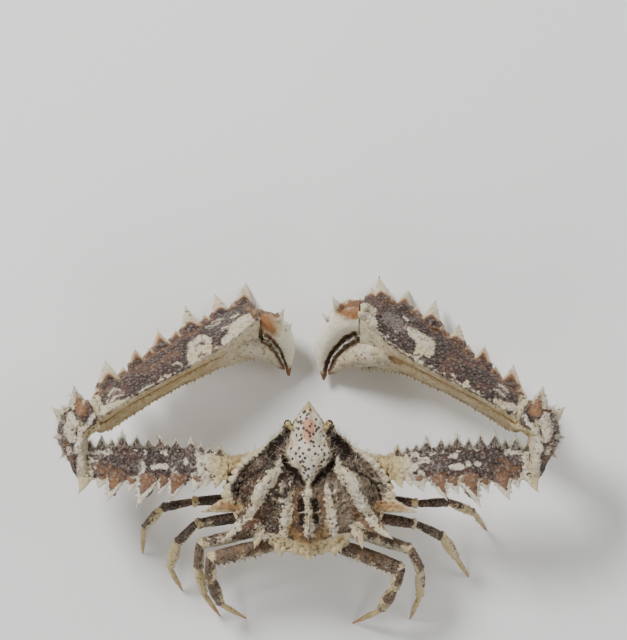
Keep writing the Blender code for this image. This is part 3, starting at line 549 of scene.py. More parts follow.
# %% Round spots
def spots_group():
    """Scattered round spots with sizes up to the given radius, in shares of their spacing."""
    inputs = {"Spots per metre": ("NodeSocketFloat", 1500.0), "Radius": ("NodeSocketFloat", 0.25)}
    outputs = {"Height": "NodeSocketFloat", "Mask": "NodeSocketFloat"}
    tree, given, result = new_group("round_spots", inputs, outputs)
    place = tree.nodes.new("ShaderNodeTexCoord").outputs["Object"]
    cells = add(tree, "ShaderNodeTexVoronoi", {"Vector": place, "Scale": given["Spots per metre"]})
    away = math_node(tree, "DIVIDE", cells.outputs["Distance"], given["Radius"])
    tree.links.new(ramp(tree, away, 0.0, 1.25, 1.0, 0.0), result.inputs["Height"])
    tree.links.new(ramp(tree, away, 0.75, 1.1, 1.0, 0.0), result.inputs["Mask"])
    return tree


SPOTS = spots_group()


# %% Fine surface of chitin
def chitin_group():
    """A normal with fine grain, and with tiny beads that stand on the dark shell."""
    inputs = {"Strength": ("NodeSocketFloat", 0.3), "Beads": ("NodeSocketFloat", 0.0)}
    tree, given, result = new_group("chitin_grain", inputs, {"Normal": "NodeSocketVector"})
    height = math_node(tree, "MULTIPLY_ADD", noise(tree, 9000.0, 4.0, 0.65), 0.5, noise(tree, 2600.0, 3.0))
    height = math_node(tree, "MULTIPLY_ADD", given["Beads"], 0.9, height)
    bump = {"Strength": given["Strength"], "Distance": 0.00015, "Height": height}
    tree.links.new(add(tree, "ShaderNodeBump", bump).outputs["Normal"], result.inputs["Normal"])
    return tree


CHITIN = chitin_group()
print("node groups:", sorted(group.name for group in bpy.data.node_groups))

# %% Palette
PALETTE = {
    "deep": (0.018, 0.011, 0.009),
    "brown": (0.052, 0.030, 0.025),
    "reddish": (0.092, 0.040, 0.026),
    "lilac": (0.215, 0.175, 0.160),
    "tan": (0.180, 0.130, 0.085),
    "fawn": (0.250, 0.195, 0.135),
    "rust": (0.200, 0.100, 0.048),
    "ochre": (0.310, 0.190, 0.065),
    "blush": (0.460, 0.198, 0.098),
    "sand": (0.270, 0.130, 0.058),
    "amber": (0.270, 0.112, 0.036),
    "cream": (0.590, 0.535, 0.425),
    "ivory": (0.850, 0.815, 0.680),
    "warm cream": (0.520, 0.405, 0.190),
    "soot": (0.012, 0.008, 0.006),
    "pit grey": (0.030, 0.024, 0.026),
    # painted shade for the crevices
    "crevice_shade": (0.060, 0.032, 0.014),
    "hair root": (0.300, 0.250, 0.170),
    "hair tip": (0.700, 0.660, 0.560),
    "black": (0.0, 0.0, 0.0),
    "floor": (0.880, 0.880, 0.870),
}


def new_material(name):
    """A material, its node tree and the inputs of its shader."""
    made = bpy.data.materials.new(name)
    made.use_nodes = True
    return made, made.node_tree, made.node_tree.nodes["Principled BSDF"].inputs


def blended(tree, below, mask, colour):
    """One colour over another where the mask is 1. Each is a socket or a name in the palette."""
    made = add(tree, "ShaderNodeMix", {"Factor": mask}, data_type="RGBA")
    for socket, value in ((made.inputs[6], below), (made.inputs[7], colour)):
        if isinstance(value, bpy.types.NodeSocket):
            tree.links.new(value, socket)
        else:
            socket.default_value = (*PALETTE[value], 1.0)
    return made.outputs[2]


# %% [markdown]
# The shell material stacks its colours as the crab's pigments lie: brown of two depths, flecks, rust and
# ochre stains, then cream over all, with dark blotches and pits after them. Last come painted shade in the
# crevices and a painted highlight on the crests. Only the colours and the size of the flecks differ between
# the claws, the legs and the underside, so one function makes all of them.

# %% The shell material
def shell_material(name, dark, brown, fleck, pale="cream", warm="warm cream", stain="blush",
                   flecks_per_metre=1300.0, beads_per_metre=2100.0, roughness=0.5, bump=0.45, ragged=1.35,
                   speckled=0.75, stained=0.55, granular=0.30):
    made, tree, shader = new_material(name)

    def field(attribute):
        return add(tree, "ShaderNodeAttribute", attribute_name=attribute).outputs["Fac"]

    def edge(attribute, per_metre, raggedness, soft):
        inputs = {
            "Field": field(attribute),
            "Grain per metre": per_metre,
            "Ragged": raggedness,
            "Soft": soft,
        }
        return add(tree, "ShaderNodeGroup", inputs, node_tree=RAGGED_EDGE).outputs["Mask"]

    def spots(per_metre, radius):
        inputs = {"Spots per metre": per_metre, "Radius": radius}
        return add(tree, "ShaderNodeGroup", inputs, node_tree=SPOTS).outputs

    def over(below, mask, colour):
        return blended(tree, below, mask, colour)

    def part(mask, share):
        return math_node(tree, "MULTIPLY", mask, share)

    colour = over(dark, ramp(tree, noise(tree, 900.0, 4.0), 0.40, 0.62), brown)
    colour = over(colour, ramp(tree, noise(tree, 260.0, 3.0), 0.50, 0.70, 0.0, 0.8), "reddish")
    flecks = {"Share": field("fleck"), "Flecks per metre": flecks_per_metre}
    flecks = add(tree, "ShaderNodeGroup", flecks, node_tree=FLECKS).outputs["Mask"]
    colour = over(colour, part(flecks, 0.8), fleck)
    colour = over(colour, part(edge("rust", 1400.0, 1.6, 0.7), 0.75), "rust")
    beads = spots(beads_per_metre, 0.36)
    colour = over(colour, part(beads["Height"], 0.26), fleck)
    colour = over(colour, ramp(tree, field("granule"), 0.3, 1.0, 0.0, granular), fleck)
    light = over(pale, field("warm"), warm)
    light = over(light, ramp(tree, noise(tree, 1300.0, 4.0, 0.6), 0.48, 0.70, 0.0, stained), "tan")
    specks = part(spots(1100.0, 0.27)["Mask"], ramp(tree, noise(tree, 500.0), 0.44, 0.56))
    light = over(light, part(specks, speckled), "reddish")
    paleness = edge("pale", 2100.0, ragged, 0.18)
    colour = over(colour, paleness, light)
    colour = over(colour, part(edge("ochre", 1300.0, 1.5, 0.6), 0.6), "ochre")
    colour = over(colour, part(edge("blush", 900.0, 0.8, 0.4), 0.85), stain)
    darkness = edge("dark", 1500.0, 0.8, 0.18)
    colour = over(colour, darkness, dark)
    in_pits = ramp(tree, field("pit"), 0.0, 0.1)
    pits = part(in_pits, spots(1180.0, 0.37)["Mask"])
    colour = over(colour, part(pits, 0.92), "pit grey")
    # Painted shade darkens the crevices, and a painted highlight of cream lightens the crests, both from
    # the hollow field
    hollow = field("hollow")
    colour = over(colour, ramp(tree, hollow, 0.15, 1.1, 0.0, 0.5), "crevice_shade")
    colour = over(colour, ramp(tree, hollow, -0.25, -1.0, 0.0, 0.10), "cream")
    tree.links.new(colour, shader["Base Color"])
    gloss = math_node(tree, "MULTIPLY_ADD", noise(tree, 3500.0, 3.0), 0.24, roughness - 0.12)
    tree.links.new(math_node(tree, "MULTIPLY_ADD", paleness, -0.06, gloss), shader["Roughness"])
    shine = math_node(tree, "MULTIPLY_ADD", darkness, -0.15, 0.22)
    tree.links.new(shine, shader["Specular IOR Level"])
    standing = math_node(tree, "MULTIPLY_ADD", pits, -3.0, beads["Height"])
    relief = add(tree, "ShaderNodeGroup", {"Strength": bump, "Beads": standing}, node_tree=CHITIN)
    tree.links.new(relief.outputs["Normal"], shader["Normal"])
    return made


CLAW = shell_material("mottled_claw", "deep", "brown", "lilac", stain="sand", flecks_per_metre=1900.0,
                      beads_per_metre=2500.0)
BACK = shell_material("mottled_back", "soot", "brown", "fawn", speckled=1.0, granular=0.42)
FINGER = shell_material("finger_shell", "soot", "brown", "tan", "ivory", stain="amber", bump=0.25,
                        ragged=0.6, speckled=0.2, stained=0.15)
LEG = shell_material("leg_shell", "deep", "brown", "tan", flecks_per_metre=1700.0, roughness=0.45,
                     bump=0.25)
BREAST = shell_material("breast_shell", "brown", "brown", "tan", roughness=0.48, bump=0.3)
print("shell materials:", [material.name for material in (CLAW, BACK, FINGER, LEG, BREAST)])

# %% [markdown]
# ## Hairs
# Short stiff hairs stand in fringes along some edges. Each is a thin three-sided body that narrows to its
# tip and bends a little. A map lays every hair at its root's place on an unrolled skin, for later baking.

# %% Fringes of hair
HAIR_RADIUS = 0.034
HAIR_SIDES = 3
HAIR_STATIONS = np.array((-0.12, 0.35, 0.7, 1.0))
# Size of one hair's patch on the unrolled skin, the margin of that skin and the span between its margins
HAIR_PATCH = 0.003
MAP_MARGIN = 0.02
MAP_SPAN = 0.94


def hair_material():
    made, tree, shader = new_material("hair")
    shade = ramp(tree, noise(tree, 900.0), 0.35, 0.65)
    tree.links.new(blended(tree, "hair root", shade, "hair tip"), shader["Base Color"])
    shader["Roughness"].default_value = 0.6
    return made


HAIR = hair_material()


def unrolled(skin, points):
    """Places from 0 to 1 on a skin that is unrolled round its longest side."""
    low, high = skin.points.min(axis=0), skin.points.max(axis=0)
    long = int(np.argmax(high - low))
    one, other = (axis for axis in range(3) if axis != long)
    offset = points - (low + high) / 2
    turn = np.arctan2(offset[:, one], offset[:, other]) / (2 * math.pi) + 0.5
    travel = MAP_SPAN * (points[:, long] - low[long]) / (high - low)[long]
    return MAP_MARGIN + np.column_stack([travel, MAP_SPAN * turn])


def fringe(skin, name, allowed, count, lengths, lean, node, mirrored=False, seed=SEED):
    """A piece of hairs on the allowed points of a skin, leaning one way. It rides the root body and hides
    that skin's node.
    """
    rng = np.random.default_rng(seed + mirrored)
    chosen = rng.choice(np.flatnonzero(allowed), count)
    roots = skin.points[chosen][:, None, None]
    out = unit(skin.normals[chosen] * 0.6 + np.array(lean) + rng.normal(0, 0.4, (count, 3)))
    bend = rng.normal(0, 0.35, (count, 1, 1, 3))
    wide = unit(np.cross(out, rng.normal(0, 1, (count, 3))))
    length = rng.uniform(*lengths, (count, 1, 1, 1))
    share = HAIR_STATIONS[None, :, None, None]
    turns = (2 * np.pi * np.arange(HAIR_SIDES) / HAIR_SIDES)[None, None, :, None]
    ring = np.cos(turns) * wide[:, None, None] + np.sin(turns) * np.cross(out, wide)[:, None, None]
    rings = roots + (out[:, None, None] * share + bend * share**2) * length
    rings = rings + ring * HAIR_RADIUS * np.maximum(1 - share, 0.08)
    stations, each = len(HAIR_STATIONS), len(HAIR_STATIONS) * HAIR_SIDES
    here = np.arange(count * each).reshape(count, stations, HAIR_SIDES)
    beside = np.roll(here, -1, axis=2)
    sides = np.stack([here[:, :-1], beside[:, :-1], beside[:, 1:], here[:, 1:]], axis=-1).reshape(-1, 4)
    mesh = bpy.data.meshes.new(name)
    caps = [*here[:, 0, ::-1].tolist(), *here[:, -1].tolist()]
    mesh.from_pydata((rings.reshape(-1, 3) * MM).tolist(), [], [*sides.tolist(), *caps])
    corner = np.empty(len(mesh.loops), np.int32)
    mesh.loops.foreach_get("vertex_index", corner)
    station, turn = corner % each // HAIR_SIDES, corner % HAIR_SIDES
    patch = np.column_stack([station / (stations - 1), turn / (HAIR_SIDES - 1)]) * HAIR_PATCH
    places = unrolled(skin, skin.points[chosen])[corner // each] + patch
    mesh.uv_layers.new(name="OFBake").data.foreach_set("uv", places.astype(np.float32).ravel())
    if mirrored:
        mesh.transform(Matrix.Diagonal((-1, 1, 1, 1)))
        mesh.flip_normals()
    mesh.materials.append(HAIR)
    set_in_place(name, mesh, [node])
    print(f"{name}: {count} hairs")


# %% [markdown]
# ## The back
# The back is a shield with a pointed beak. A raised white plate, the mask, runs from the beak to the
# middle, dark grooves lie beside it, and a knobbly ridge slants over each gill chamber to a long spine.
# All of that is a height for each plan point, so the back is a pillow with a carefully made top.

# %% Sizes of the back
CARAPACE_HALF_OUTLINE = [
    (0.0, -9.63), (1.0, -8.3), (2.6, -6.1), (3.15, -5.0), (4.15, -4.7), (5.7, -3.4), (7.1, -2.25),
    (8.0, -1.35), (8.8, -1.05), (10.6, -0.2), (12.2, 0.9), (13.5, 2.0), (14.4, 3.6), (14.9, 5.6),
    (14.8, 7.6), (13.9, 9.7), (13.0, 11.7), (11.5, 13.3), (9.0, 14.2), (6.8, 15.5), (5.6, 17.1),
    (3.2, 17.7), (1.3, 18.2), (0.0, 18.5),
]
BODY_MIDDLE = (0.0, 4.5)
CARAPACE_UNDERSIDE = 16.3
SHELL_EDGE = 0.75
# Each pair holds places along y, then the values there
EDGE_HEIGHTS = (
    (-9.7, -5.2, -2.3, -1.0, 1.0, 8.0, 12.0, 14.0, 17.0, 18.6),
    (23.5, 22.8, 19.9, 18.7, 18.1, 17.9, 18.6, 17.8, 17.2, 17.1),
)
BACK_LEVELS = ((-9.7, -5.0, 0.0, 6.0, 12.0, 16.0, 18.6), (23.3, 22.6, 21.8, 21.6, 20.4, 18.8, 17.4))
MASK_CROWN = ((-9.7, -6.1, -3.0, -0.8, 1.5, 3.5, 6.4), (23.7, 24.7, 25.4, 25.6, 25.2, 24.2, 22.9))
MASK_HALF_WIDTHS = (
    (-9.7, -8.3, -6.66, -4.4, -2.9, -1.6, -0.7, 0.2, 0.9, 1.5, 2.15, 2.6, 3.6, 4.9, 6.2),
    (0.2, 0.95, 2.1, 3.2, 3.3, 3.75, 4.15, 4.0, 3.45, 3.35, 3.1, 1.95, 1.45, 0.65, 0.25),
)
FACE_UNDERSIDE = ((-9.7, -5.2, -2.3, -1.7), (22.7, 21.4, 18.9, CARAPACE_UNDERSIDE))
RIDGE = [(5.4, 0.6), (6.9, 3.6), (8.7, 6.1), (10.2, 9.4), (12.2, 12.7), (15.2, 15.0)]
RIDGE_CRESTS = (22.5, 23.7, 24.1, 23.2, 21.9, 21.7)


# %% Heights of the back
def hump(distance, width):
    return np.exp(-((distance / width) ** 2))


def beside_stroke(plan, line, width):
    """A relief of 1 on a stroke that fades over the given width beside it."""
    return hump(np.minimum(stroke(plan, line), 0), width)


def ridge_at(x, y):
    """Distance from the slanting ridge over the gills, and the height of its crest at the nearest place."""
    plan = np.column_stack([x, y])
    best, crest = np.full(len(plan), 99.0), np.zeros(len(plan))
    for k in range(len(RIDGE) - 1):
        start, end = np.array(RIDGE[k]), np.array(RIDGE[k + 1])
        span = end - start
        share = np.clip((plan - start) @ span / (span @ span), 0, 1)
        away = np.linalg.norm(start + span * share[:, None] - plan, axis=1)
        closer = away < best
        best[closer] = away[closer]
        crest[closer] = (RIDGE_CRESTS[k] + (RIDGE_CRESTS[k + 1] - RIDGE_CRESTS[k]) * share)[closer]
    return best, crest


def carapace_top(x, y, share):
    x = np.abs(x)
    edge = np.interp(y, *EDGE_HEIGHTS)
    level = np.interp(y, *BACK_LEVELS) - 0.022 * x * x * np.where(y < 0, 0.5, 1.0)
    away, crest = ridge_at(x, y)
    level += (crest - level) * hump(away, 2.2)
    back = hump(np.maximum(np.maximum(5.8 - y, 0), y - 15.5), 1.2)
    level += back * (1.1 * hump(x, 1.4) + 0.8 * hump(x - 4.5, 1.1) - 0.3 * hump(x - 2.6, 0.9))
    half = np.interp(y, *MASK_HALF_WIDTHS)
    mask_level = np.interp(y, *MASK_CROWN) - 1.1 * np.minimum(x / half, 1.3) ** 2
    inside = 1 / (1 + np.exp(np.clip((x - half) / 0.18, -30, 30)))
    level += np.maximum(mask_level - level, 0) * inside
    return edge + np.maximum(level - edge, 0) * (1 - share**5)


def carapace_bottom(x, y, share):
    x = np.abs(x)
    under = CARAPACE_UNDERSIDE + 0.35 * share**4 + 0 * x
    slope = np.interp(y, *FACE_UNDERSIDE)
    beside = hump(np.maximum(x - 4.6, 0), 1.6)
    under = np.where(y < -1.7, np.maximum(under, under + (slope - under) * beside), under)
    above = np.minimum(np.interp(y, *EDGE_HEIGHTS), carapace_top(x, y, share))
    return np.minimum(under, above - SHELL_EDGE)


# %% Spines and teeth of the back
# Root, tip, width, thickness and taper of each
BACK_SPINES = [
    ((13.4, 8.8, 17.8), (19.3, 10.4, 20.7), 3.5, 2.2, 0.95),
    ((10.6, 11.8, 19.4), (15.1, 15.2, 21.9), 3.8, 2.6, 0.95),
    ((8.5, 13.0, 17.8), (9.7, 16.9, 19.2), 2.9, 1.8, 0.8),
]
ORBIT_TOOTH = ((4.2, -4.0, 22.2), (4.6, -5.4, 22.8), 1.3, 1.0)
TAIL_TOOTH = ((0.0, 17.6, 17.0), (0.0, 19.4, 17.5), 2.4, 1.6)
BACK_KNOBS = [(0.0, 7.0, 22.6), (0.0, 10.2, 21.8), (0.0, 13.6, 20.7)]
# Tips of the lobes along the margin, from the cheek to the side spine
LOBES = [
    (8.9, -0.8, 18.6), (9.9, -0.35, 18.6), (10.9, 0.3, 18.7), (11.9, 1.1, 18.9), (12.8, 2.1, 19.1),
    (13.6, 3.2, 19.1), (14.2, 4.5, 19.0), (15.1, 6.0, 18.7), (15.5, 7.4, 18.6),
]
REAR_TEETH = [(2.4, 17.6, 0.4), (4.7, 17.4, 0.55), (5.6, 16.9, 0.5), (6.8, 15.6, 0.35), (1.2, 17.9, 0.35)]


def lobe_heading(place):
    return unit((place[0], (place[1] - 4.0) * 0.8, 0.0))


def lobe(place, size):
    """A blunt lobe of the margin, pointing away from the middle of the body."""
    out = lobe_heading(place)
    axes = [out, np.cross((0, 0, 1), out), (0, 0, 1)]
    reach = 1.1 + 0.5 * size
    return knob(np.array(place) + out * (0.3 - reach), (reach, 0.62 + 0.16 * size, 0.62), axes)


def both_sides(part):
    return [part, (part[0] * (-1, 1, 1), part[1])]


# %% [markdown]
# The face lies under the beak: two eyes in their notches, the folded feelers between them, and the plate
# above the mouth. These are knobs and plates fused to the back, because on the crab they are one shell.

# %% Plates of the face
FACE_PLATES = [
    # the plate over the mouth, its corner knobs, the pillars of the feelers and the cheeks
    ((0.0, -3.5, 19.8), (3.0, 0.85, 0.95)),
    ((0.0, -4.4, 20.6), (0.55, 0.8, 1.15)),
    ((0.0, -5.4, 22.0), (1.0, 1.2, 0.8)),
    ((2.9, -3.6, 20.6), (0.55, 0.7, 1.0)),
    ((3.3, -4.6, 21.9), (0.65, 0.75, 0.9)),
    ((2.0, -5.0, 22.4), (0.9, 1.1, 0.7)),
    ((5.4, -2.4, 19.3), (1.7, 0.8, 1.5)),
    ((4.6, -2.4, 17.9), (1.5, 0.8, 0.9)),
    ((8.0, -0.4, 17.9), (1.6, 0.6, 0.6)),
]
# The ridge that hangs over the front of the breast, and a plug that keeps light from shining through
CHEEK_RIDGE = [(4.35, -2.1, 15.9), (6.0, -1.75, 15.95), (7.6, -0.9, 16.1), (9.0, -0.1, 16.5)]
PLUG = ((0.0, 7.3, 16.1), (8.6, 7.6, 1.0))


def back_parts():
    outline = whole_outline(CARAPACE_HALF_OUTLINE, 130)
    parts = [pillow(outline, BODY_MIDDLE, carapace_top, carapace_bottom, 60)]
    for root, tip, width, thickness, taper in BACK_SPINES:
        along = np.cross(np.array(tip) - np.array(root), (0, 0, 1))
        thorn = spine(root, tip, width, thickness, along, sink=1.2, hook=(0, 0, -0.2), taper=taper)
        parts += both_sides(thorn)
    for place, size in zip(LOBES, np.linspace(0, 1, len(LOBES)) ** 1.4):
        parts += both_sides(lobe(place, size))
    for x, y, size in REAR_TEETH:
        tip = (x * 1.05, y + size * 1.9, 16.9)
        parts += both_sides(spine((x, y, 17.0), tip, size * 2.2, 1.0, (1, 0, 0)))
    parts += both_sides(spine(*ORBIT_TOOTH, (1, 0, 0), sink=0.6))
    parts.append(spine(*TAIL_TOOTH, (1, 0, 0)))
    parts += [knob(centre, (0.75, 0.95, 0.7)) for centre in BACK_KNOBS]
    for centre, radii in FACE_PLATES:
        parts += both_sides(knob(centre, radii)) if centre[0] else [knob(centre, radii)]
    ridge_sizes = (0.5, 0.6, 0.6, 0.5)
    parts += both_sides(tube(CHEEK_RIDGE, ridge_sizes, (1.2, 1.4, 1.4, 1.2), 16, stations=30))
    parts.append(knob(*PLUG, rows=20, sides=40))
    return parts


back = Skin("back_shell", back_parts(), 0.155)
print("the back has", len(back.points), "points")

# %% [markdown]
# The coarse shape is there, and now comes the relief that a finger would feel: a groove round the mask,
# knobs along the ridges, worm-like wrinkles on the gill chambers and beads on the pale parts.

# %% Relief of the back
RIDGE_KNOBS = [
    (5.2, 0.9, 0.9, 0.45), (6.5, 2.9, 0.9, 0.15), (7.6, 4.6, 1.0, 0.2), (8.7, 6.2, 1.0, 0.15),
    (9.5, 8.0, 0.9, 0.15), (10.4, 9.8, 0.8, 0.12), (11.6, 11.6, 0.7, 0.1), (4.0, 8.0, 0.8, 0.15),
    (4.5, 10.4, 0.9, 0.2), (4.5, 12.6, 0.8, 0.15), (5.6, 6.4, 0.8, 0.15), (7.0, 9.6, 0.8, 0.15),
]
UNDER_RIDGE_GROOVE = [(4.8, 4.6, 0.2), (6.6, 7.4, 0.3), (7.9, 10.2, 0.3), (9.4, 12.2, 0.2)]
MARGIN_GROOVE = [(7.6, -0.2, 0.1), (11.0, 2.2, 0.2), (12.9, 5.0, 0.2), (13.2, 8.0, 0.1)]

plan = np.column_stack([np.abs(back.points[:, 0]), back.points[:, 1]])
on_top = np.clip((back.normals[:, 2] - 0.1) * 3, 0, 1)
mask_field = np.interp(plan[:, 1], *MASK_HALF_WIDTHS) - plan[:, 0]
in_mask_span = np.clip((6.2 - plan[:, 1]) * 2, 0, 1)
relief = -0.35 * hump(mask_field + 0.5, 0.35) * in_mask_span * (plan[:, 1] > -4.4)
relief += 0.12 * hump(mask_field - 0.35, 0.3) * in_mask_span
for x, y, radius, height in RIDGE_KNOBS:
    relief += height * hump(np.linalg.norm(plan - (x, y), axis=1), radius * 0.75)
relief -= 0.40 * beside_stroke(plan, UNDER_RIDGE_GROOVE, 0.6)
relief -= 0.35 * beside_stroke(plan, MARGIN_GROOVE, 0.35)
off_mask = np.clip(0.5 - mask_field, 0, 1)
relief += 0.14 * off_mask * (1 - 2.2 * np.abs(grain(back.points, 1.3, 3)))
relief += 0.10 * off_mask * grain(back.points, 2.6, 4)
back.lift(relief * on_top)

# %% Markings of the back
BACK_PALE = [
    [(4.75, 0.3, 0.3), (5.0, 1.3, 0.6), (5.3, 2.1, 0.45)],
    [(5.6, 2.9, 0.8), (6.7, 3.9, 1.3), (7.9, 5.3, 1.3), (8.6, 7.3, 1.15), (9.7, 9.3, 1.0),
     (11.0, 11.2, 0.85),
     (12.4, 12.9, 0.7), (15.2, 15.2, 0.6)],
    [(3.3, 4.7, 0.15), (3.3, 7.0, 0.45), (3.7, 9.2, 0.9), (4.1, 11.5, 1.05), (4.4, 13.5, 0.95),
     (4.5, 15.2, 0.9)],
    [(0.2, 6.4, 0.3), (0.3, 7.2, 0.65)],
    [(0.25, 8.2, 0.2), (0.25, 10.0, 0.22)], [(0.3, 10.3, 0.2), (2.0, 10.3, 0.14)],
    [(0.3, 12.6, 0.2), (1.2, 12.7, 0.1)],
    [(0.3, 10.9, 0.28), (0.4, 13.0, 0.5), (0.7, 14.4, 0.5)],
    [(4.9, 5.4, 0.3), (5.2, 6.6, 0.2)], [(6.1, 7.6, 0.25), (6.3, 8.4, 0.15)], [(5.0, 8.2, 0.3)],
    [(8.8, 13.0, 0.9), (9.6, 16.6, 0.9)],
]
BACK_CREAM_EDGE = [
    [(4.7, -4.5, 0.16), (7.2, -2.25, 0.2), (8.6, -1.0, 0.45), (10.4, -0.2, 0.55), (12.1, 0.9, 0.6),
     (13.5, 2.4, 0.6),
     (14.5, 4.0, 0.7), (14.9, 5.7, 0.75), (14.9, 7.8, 0.9), (14.0, 9.6, 0.8), (13.2, 11.4, 0.4)],
    [(13.6, 7.6, 0.5), (15.4, 8.1, 0.5), (17.4, 9.2, 0.5), (19.5, 10.5, 0.7)],
    [(14.0, 10.4, 0.4), (19.5, 10.5, 0.5)],
    [(0.0, 17.7, 1.6), (3.4, 17.2, 1.9), (5.8, 16.0, 1.6), (7.6, 14.9, 0.9)],
]
BACK_RUST = [
    [(7.4, 9.2, 0.3), (8.8, 11.0, 0.75), (10.0, 12.7, 0.75), (12.0, 13.8, 0.4)],
    [(2.4, 6.4, 0.4), (2.55, 8.4, 0.55), (2.4, 10.4, 0.6), (2.5, 12.6, 0.5)],
    [(0.9, 4.9, 0.5), (0.8, 6.4, 0.3)],
    [(1.2, 13.6, 0.5), (2.2, 14.6, 0.6)],
    [(12.9, 12.2, 0.1), (14.8, 14.4, 0.15)],
]
BACK_TAN = [[(12.6, 9.4, 0.9), (15.2, 9.3, 0.9), (17.6, 9.8, 0.4)]]
BACK_OCHRE = [
    [(3.2, 12.6, 0.5), (2.9, 14.2, 0.8), (1.6, 15.7, 0.7), (0.0, 16.2, 0.7)], [(1.4, 14.5, 0.6)],
    [(0.0, -9.0, 0.1), (0.1, -7.0, 0.3)],
    [(4.8, 15.8, 0.3), (6.0, 15.0, 0.3)],
]
BACK_DARK = [
    [(1.2, 8.5, 0.6), (1.25, 9.8, 0.6)],
    [(1.25, 11.0, 0.38), (1.3, 12.2, 0.38)],
    # along the mask's edge and its groove: dark brown shell, and painted shade in the groove
    [(0.9, 5.4, 0.3), (1.5, 4.4, 0.55), (2.7, 3.4, 0.5), (3.8, 2.2, 0.45), (4.5, 0.6, 0.4),
     (4.1, -0.9, 0.3),
     (4.0, -2.4, 0.5), (4.3, -3.6, 0.6)],
    [(5.0, -2.8, 0.8), (6.3, -1.5, 0.95), (7.0, -0.5, 0.6), (6.2, 0.4, 0.6)],
    [(5.9, 2.0, 0.12), (8.4, 2.9, 0.16), (11.0, 4.4, 0.16), (12.7, 6.5, 0.16), (13.1, 9.0, 0.12)],
]
MASK_BLUSH = [
    [(0.0, -6.1, 0.6), (0.1, -4.9, 0.95), (-0.05, -3.6, 0.9), (0.0, -2.7, 0.45)],
    [(2.9, -2.4, 0.1), (3.0, -1.4, 0.1)],
    [(2.2, 1.2, 0.15), (1.4, 2.4, 0.1)],
]
# Markings of the face, seen from the front: distance from the middle, height and half width of each place
FACE_DARK = [
    [(0.0, 18.75, 0.12), (1.3, 19.15, 0.2), (3.3, 18.4, 0.12)], [(3.8, 21.4, 0.22), (3.1, 20.0, 0.24)],
    [(7.9, 19.3, 0.1), (6.0, 17.6, 0.1)], [(0.0, 18.6, 0.35), (0.0, 15.0, 0.35)],
]
FACE_LINES = [
    [(0.6, 22.9, 0.06), (0.9, 21.7, 0.1)], [(1.7, 23.2, 0.06), (1.9, 22.2, 0.1)],
    [(2.5, 22.9, 0.06), (3.0, 21.9, 0.12)],
    [(0.0, 21.7, 0.08), (1.6, 22.0, 0.08), (2.8, 21.4, 0.08)], [(4.5, 20.3, 0.06), (4.4, 18.6, 0.06)],
]
FACE_ORANGE = [[(4.3, 18.2, 0.5), (5.0, 17.6, 0.4)], [(3.9, 19.3, 0.15), (4.2, 20.6, 0.15)],
               [(0.0, 20.9, 0.12)]]
FACE_WHITE = [
    [(5.0, 20.4, 0.5), (5.8, 19.8, 0.7), (6.8, 19.2, 0.5)], [(0.0, 23.2, 0.5), (0.0, 22.0, 0.2)],
    [(1.2, 23.2, 0.4), (1.5, 22.3, 0.2)], [(2.2, 23.4, 0.3), (2.4, 22.2, 0.2)],
    [(6.0, 17.1, 0.3), (9.0, 17.3, 0.4)], [(4.4, 15.9, 0.3), (8.6, 16.2, 0.3)],
]
# Where the dark shell carries more flecks or fewer: a line, and the share on it
FLECK_PLACES = [
    ([(9.0, 0.8, 1.0), (11.2, 2.4, 1.0), (12.4, 4.4, 0.8)], 0.48),
    ([(8.6, 3.9, 0.8), (10.8, 6.0, 1.6)], 0.42),
    ([(5.2, 5.0, 0.7), (6.0, 8.0, 1.2), (6.8, 12.4, 1.4)], 0.50),
    ([(1.6, 6.0, 0.8), (2.2, 12.0, 1.0)], 0.42),
    ([(2.6, 4.0, 0.9), (4.6, 3.0, 0.6)], 0.38), ([(6.2, -1.0, 1.6)], 0.16),
]

plan = wandering(back.points, 20, 0.22)
plan[:, 0] = np.abs(plan[:, 0] + 0.15 * grain(back.points, 3.0, 21, 1))
true_plan = np.column_stack([np.abs(back.points[:, 0]), back.points[:, 1]])
from_middle, behind = true_plan.T
facing_up = back.normals[:, 2]
scallop = 0.16 * np.cos(behind * 2 * np.pi / 1.5)
mask_half = np.interp(behind, *MASK_HALF_WIDTHS) + scallop * (behind > -4)
mask_edge = np.minimum(mask_half - from_middle, 6.3 - behind)
mottle = 0.5 * grain(back.points, 0.55, 24) + 0.3 * grain(back.points, 1.4, 27)
back.add("pale", np.minimum(strokes(plan, BACK_PALE), 0.5) + mottle)
back.add("rust", strokes(plan, BACK_RUST) - 0.1 + 0.45 * grain(back.points, 1.0, 22))
back.add("ochre", strokes(plan, BACK_OCHRE) - 0.1 + 0.5 * grain(back.points, 1.1, 23))
upside = (facing_up - 0.05) * 6
back.add("dark", np.minimum(np.minimum(strokes(plan, BACK_DARK), -mask_edge - 0.05), upside))
cream_edge = strokes(true_plan, BACK_CREAM_EDGE)
back.add("pale", cream_edge)
tan_place = strokes(plan, BACK_TAN)
back.add("pale", tan_place)
half_points = np.column_stack([true_plan, back.points[:, 2]])
for place in LOBES:
    middle = np.array(place) - lobe_heading(place) * 0.45
    back.add("pale", 1.8 * (0.85 - np.linalg.norm(half_points - middle, axis=1)))
back.add("pale", mask_edge)
back.add("blush", np.minimum(strokes(plan, MASK_BLUSH) + 0.1, upside))
back.add("pale", 0.6 - np.clip((facing_up + 0.1) * 6, -1, 3))
back.fields["warm"] = np.clip(cream_edge * 0.6 + 0.4, 0, 0.7) * (mask_edge < 0)
yellowing = np.clip(0.25 + 0.5 * grain(back.points, 2.2, 26), 0, 0.6) * (mask_edge < 0)
back.add("warm", yellowing)
back.add("warm", np.clip(0.2 - facing_up * 3, 0, 1))
back.add("warm", np.clip(-7.2 - behind, 0, 1) * 0.8)
back.add("warm", np.clip(behind - 14.5, 0, 1) * 0.85)
back.add("warm", np.clip(tan_place + 0.5, 0, 1))
back.add("warm", (0.5 - mask_edge) * (mask_edge > 0))
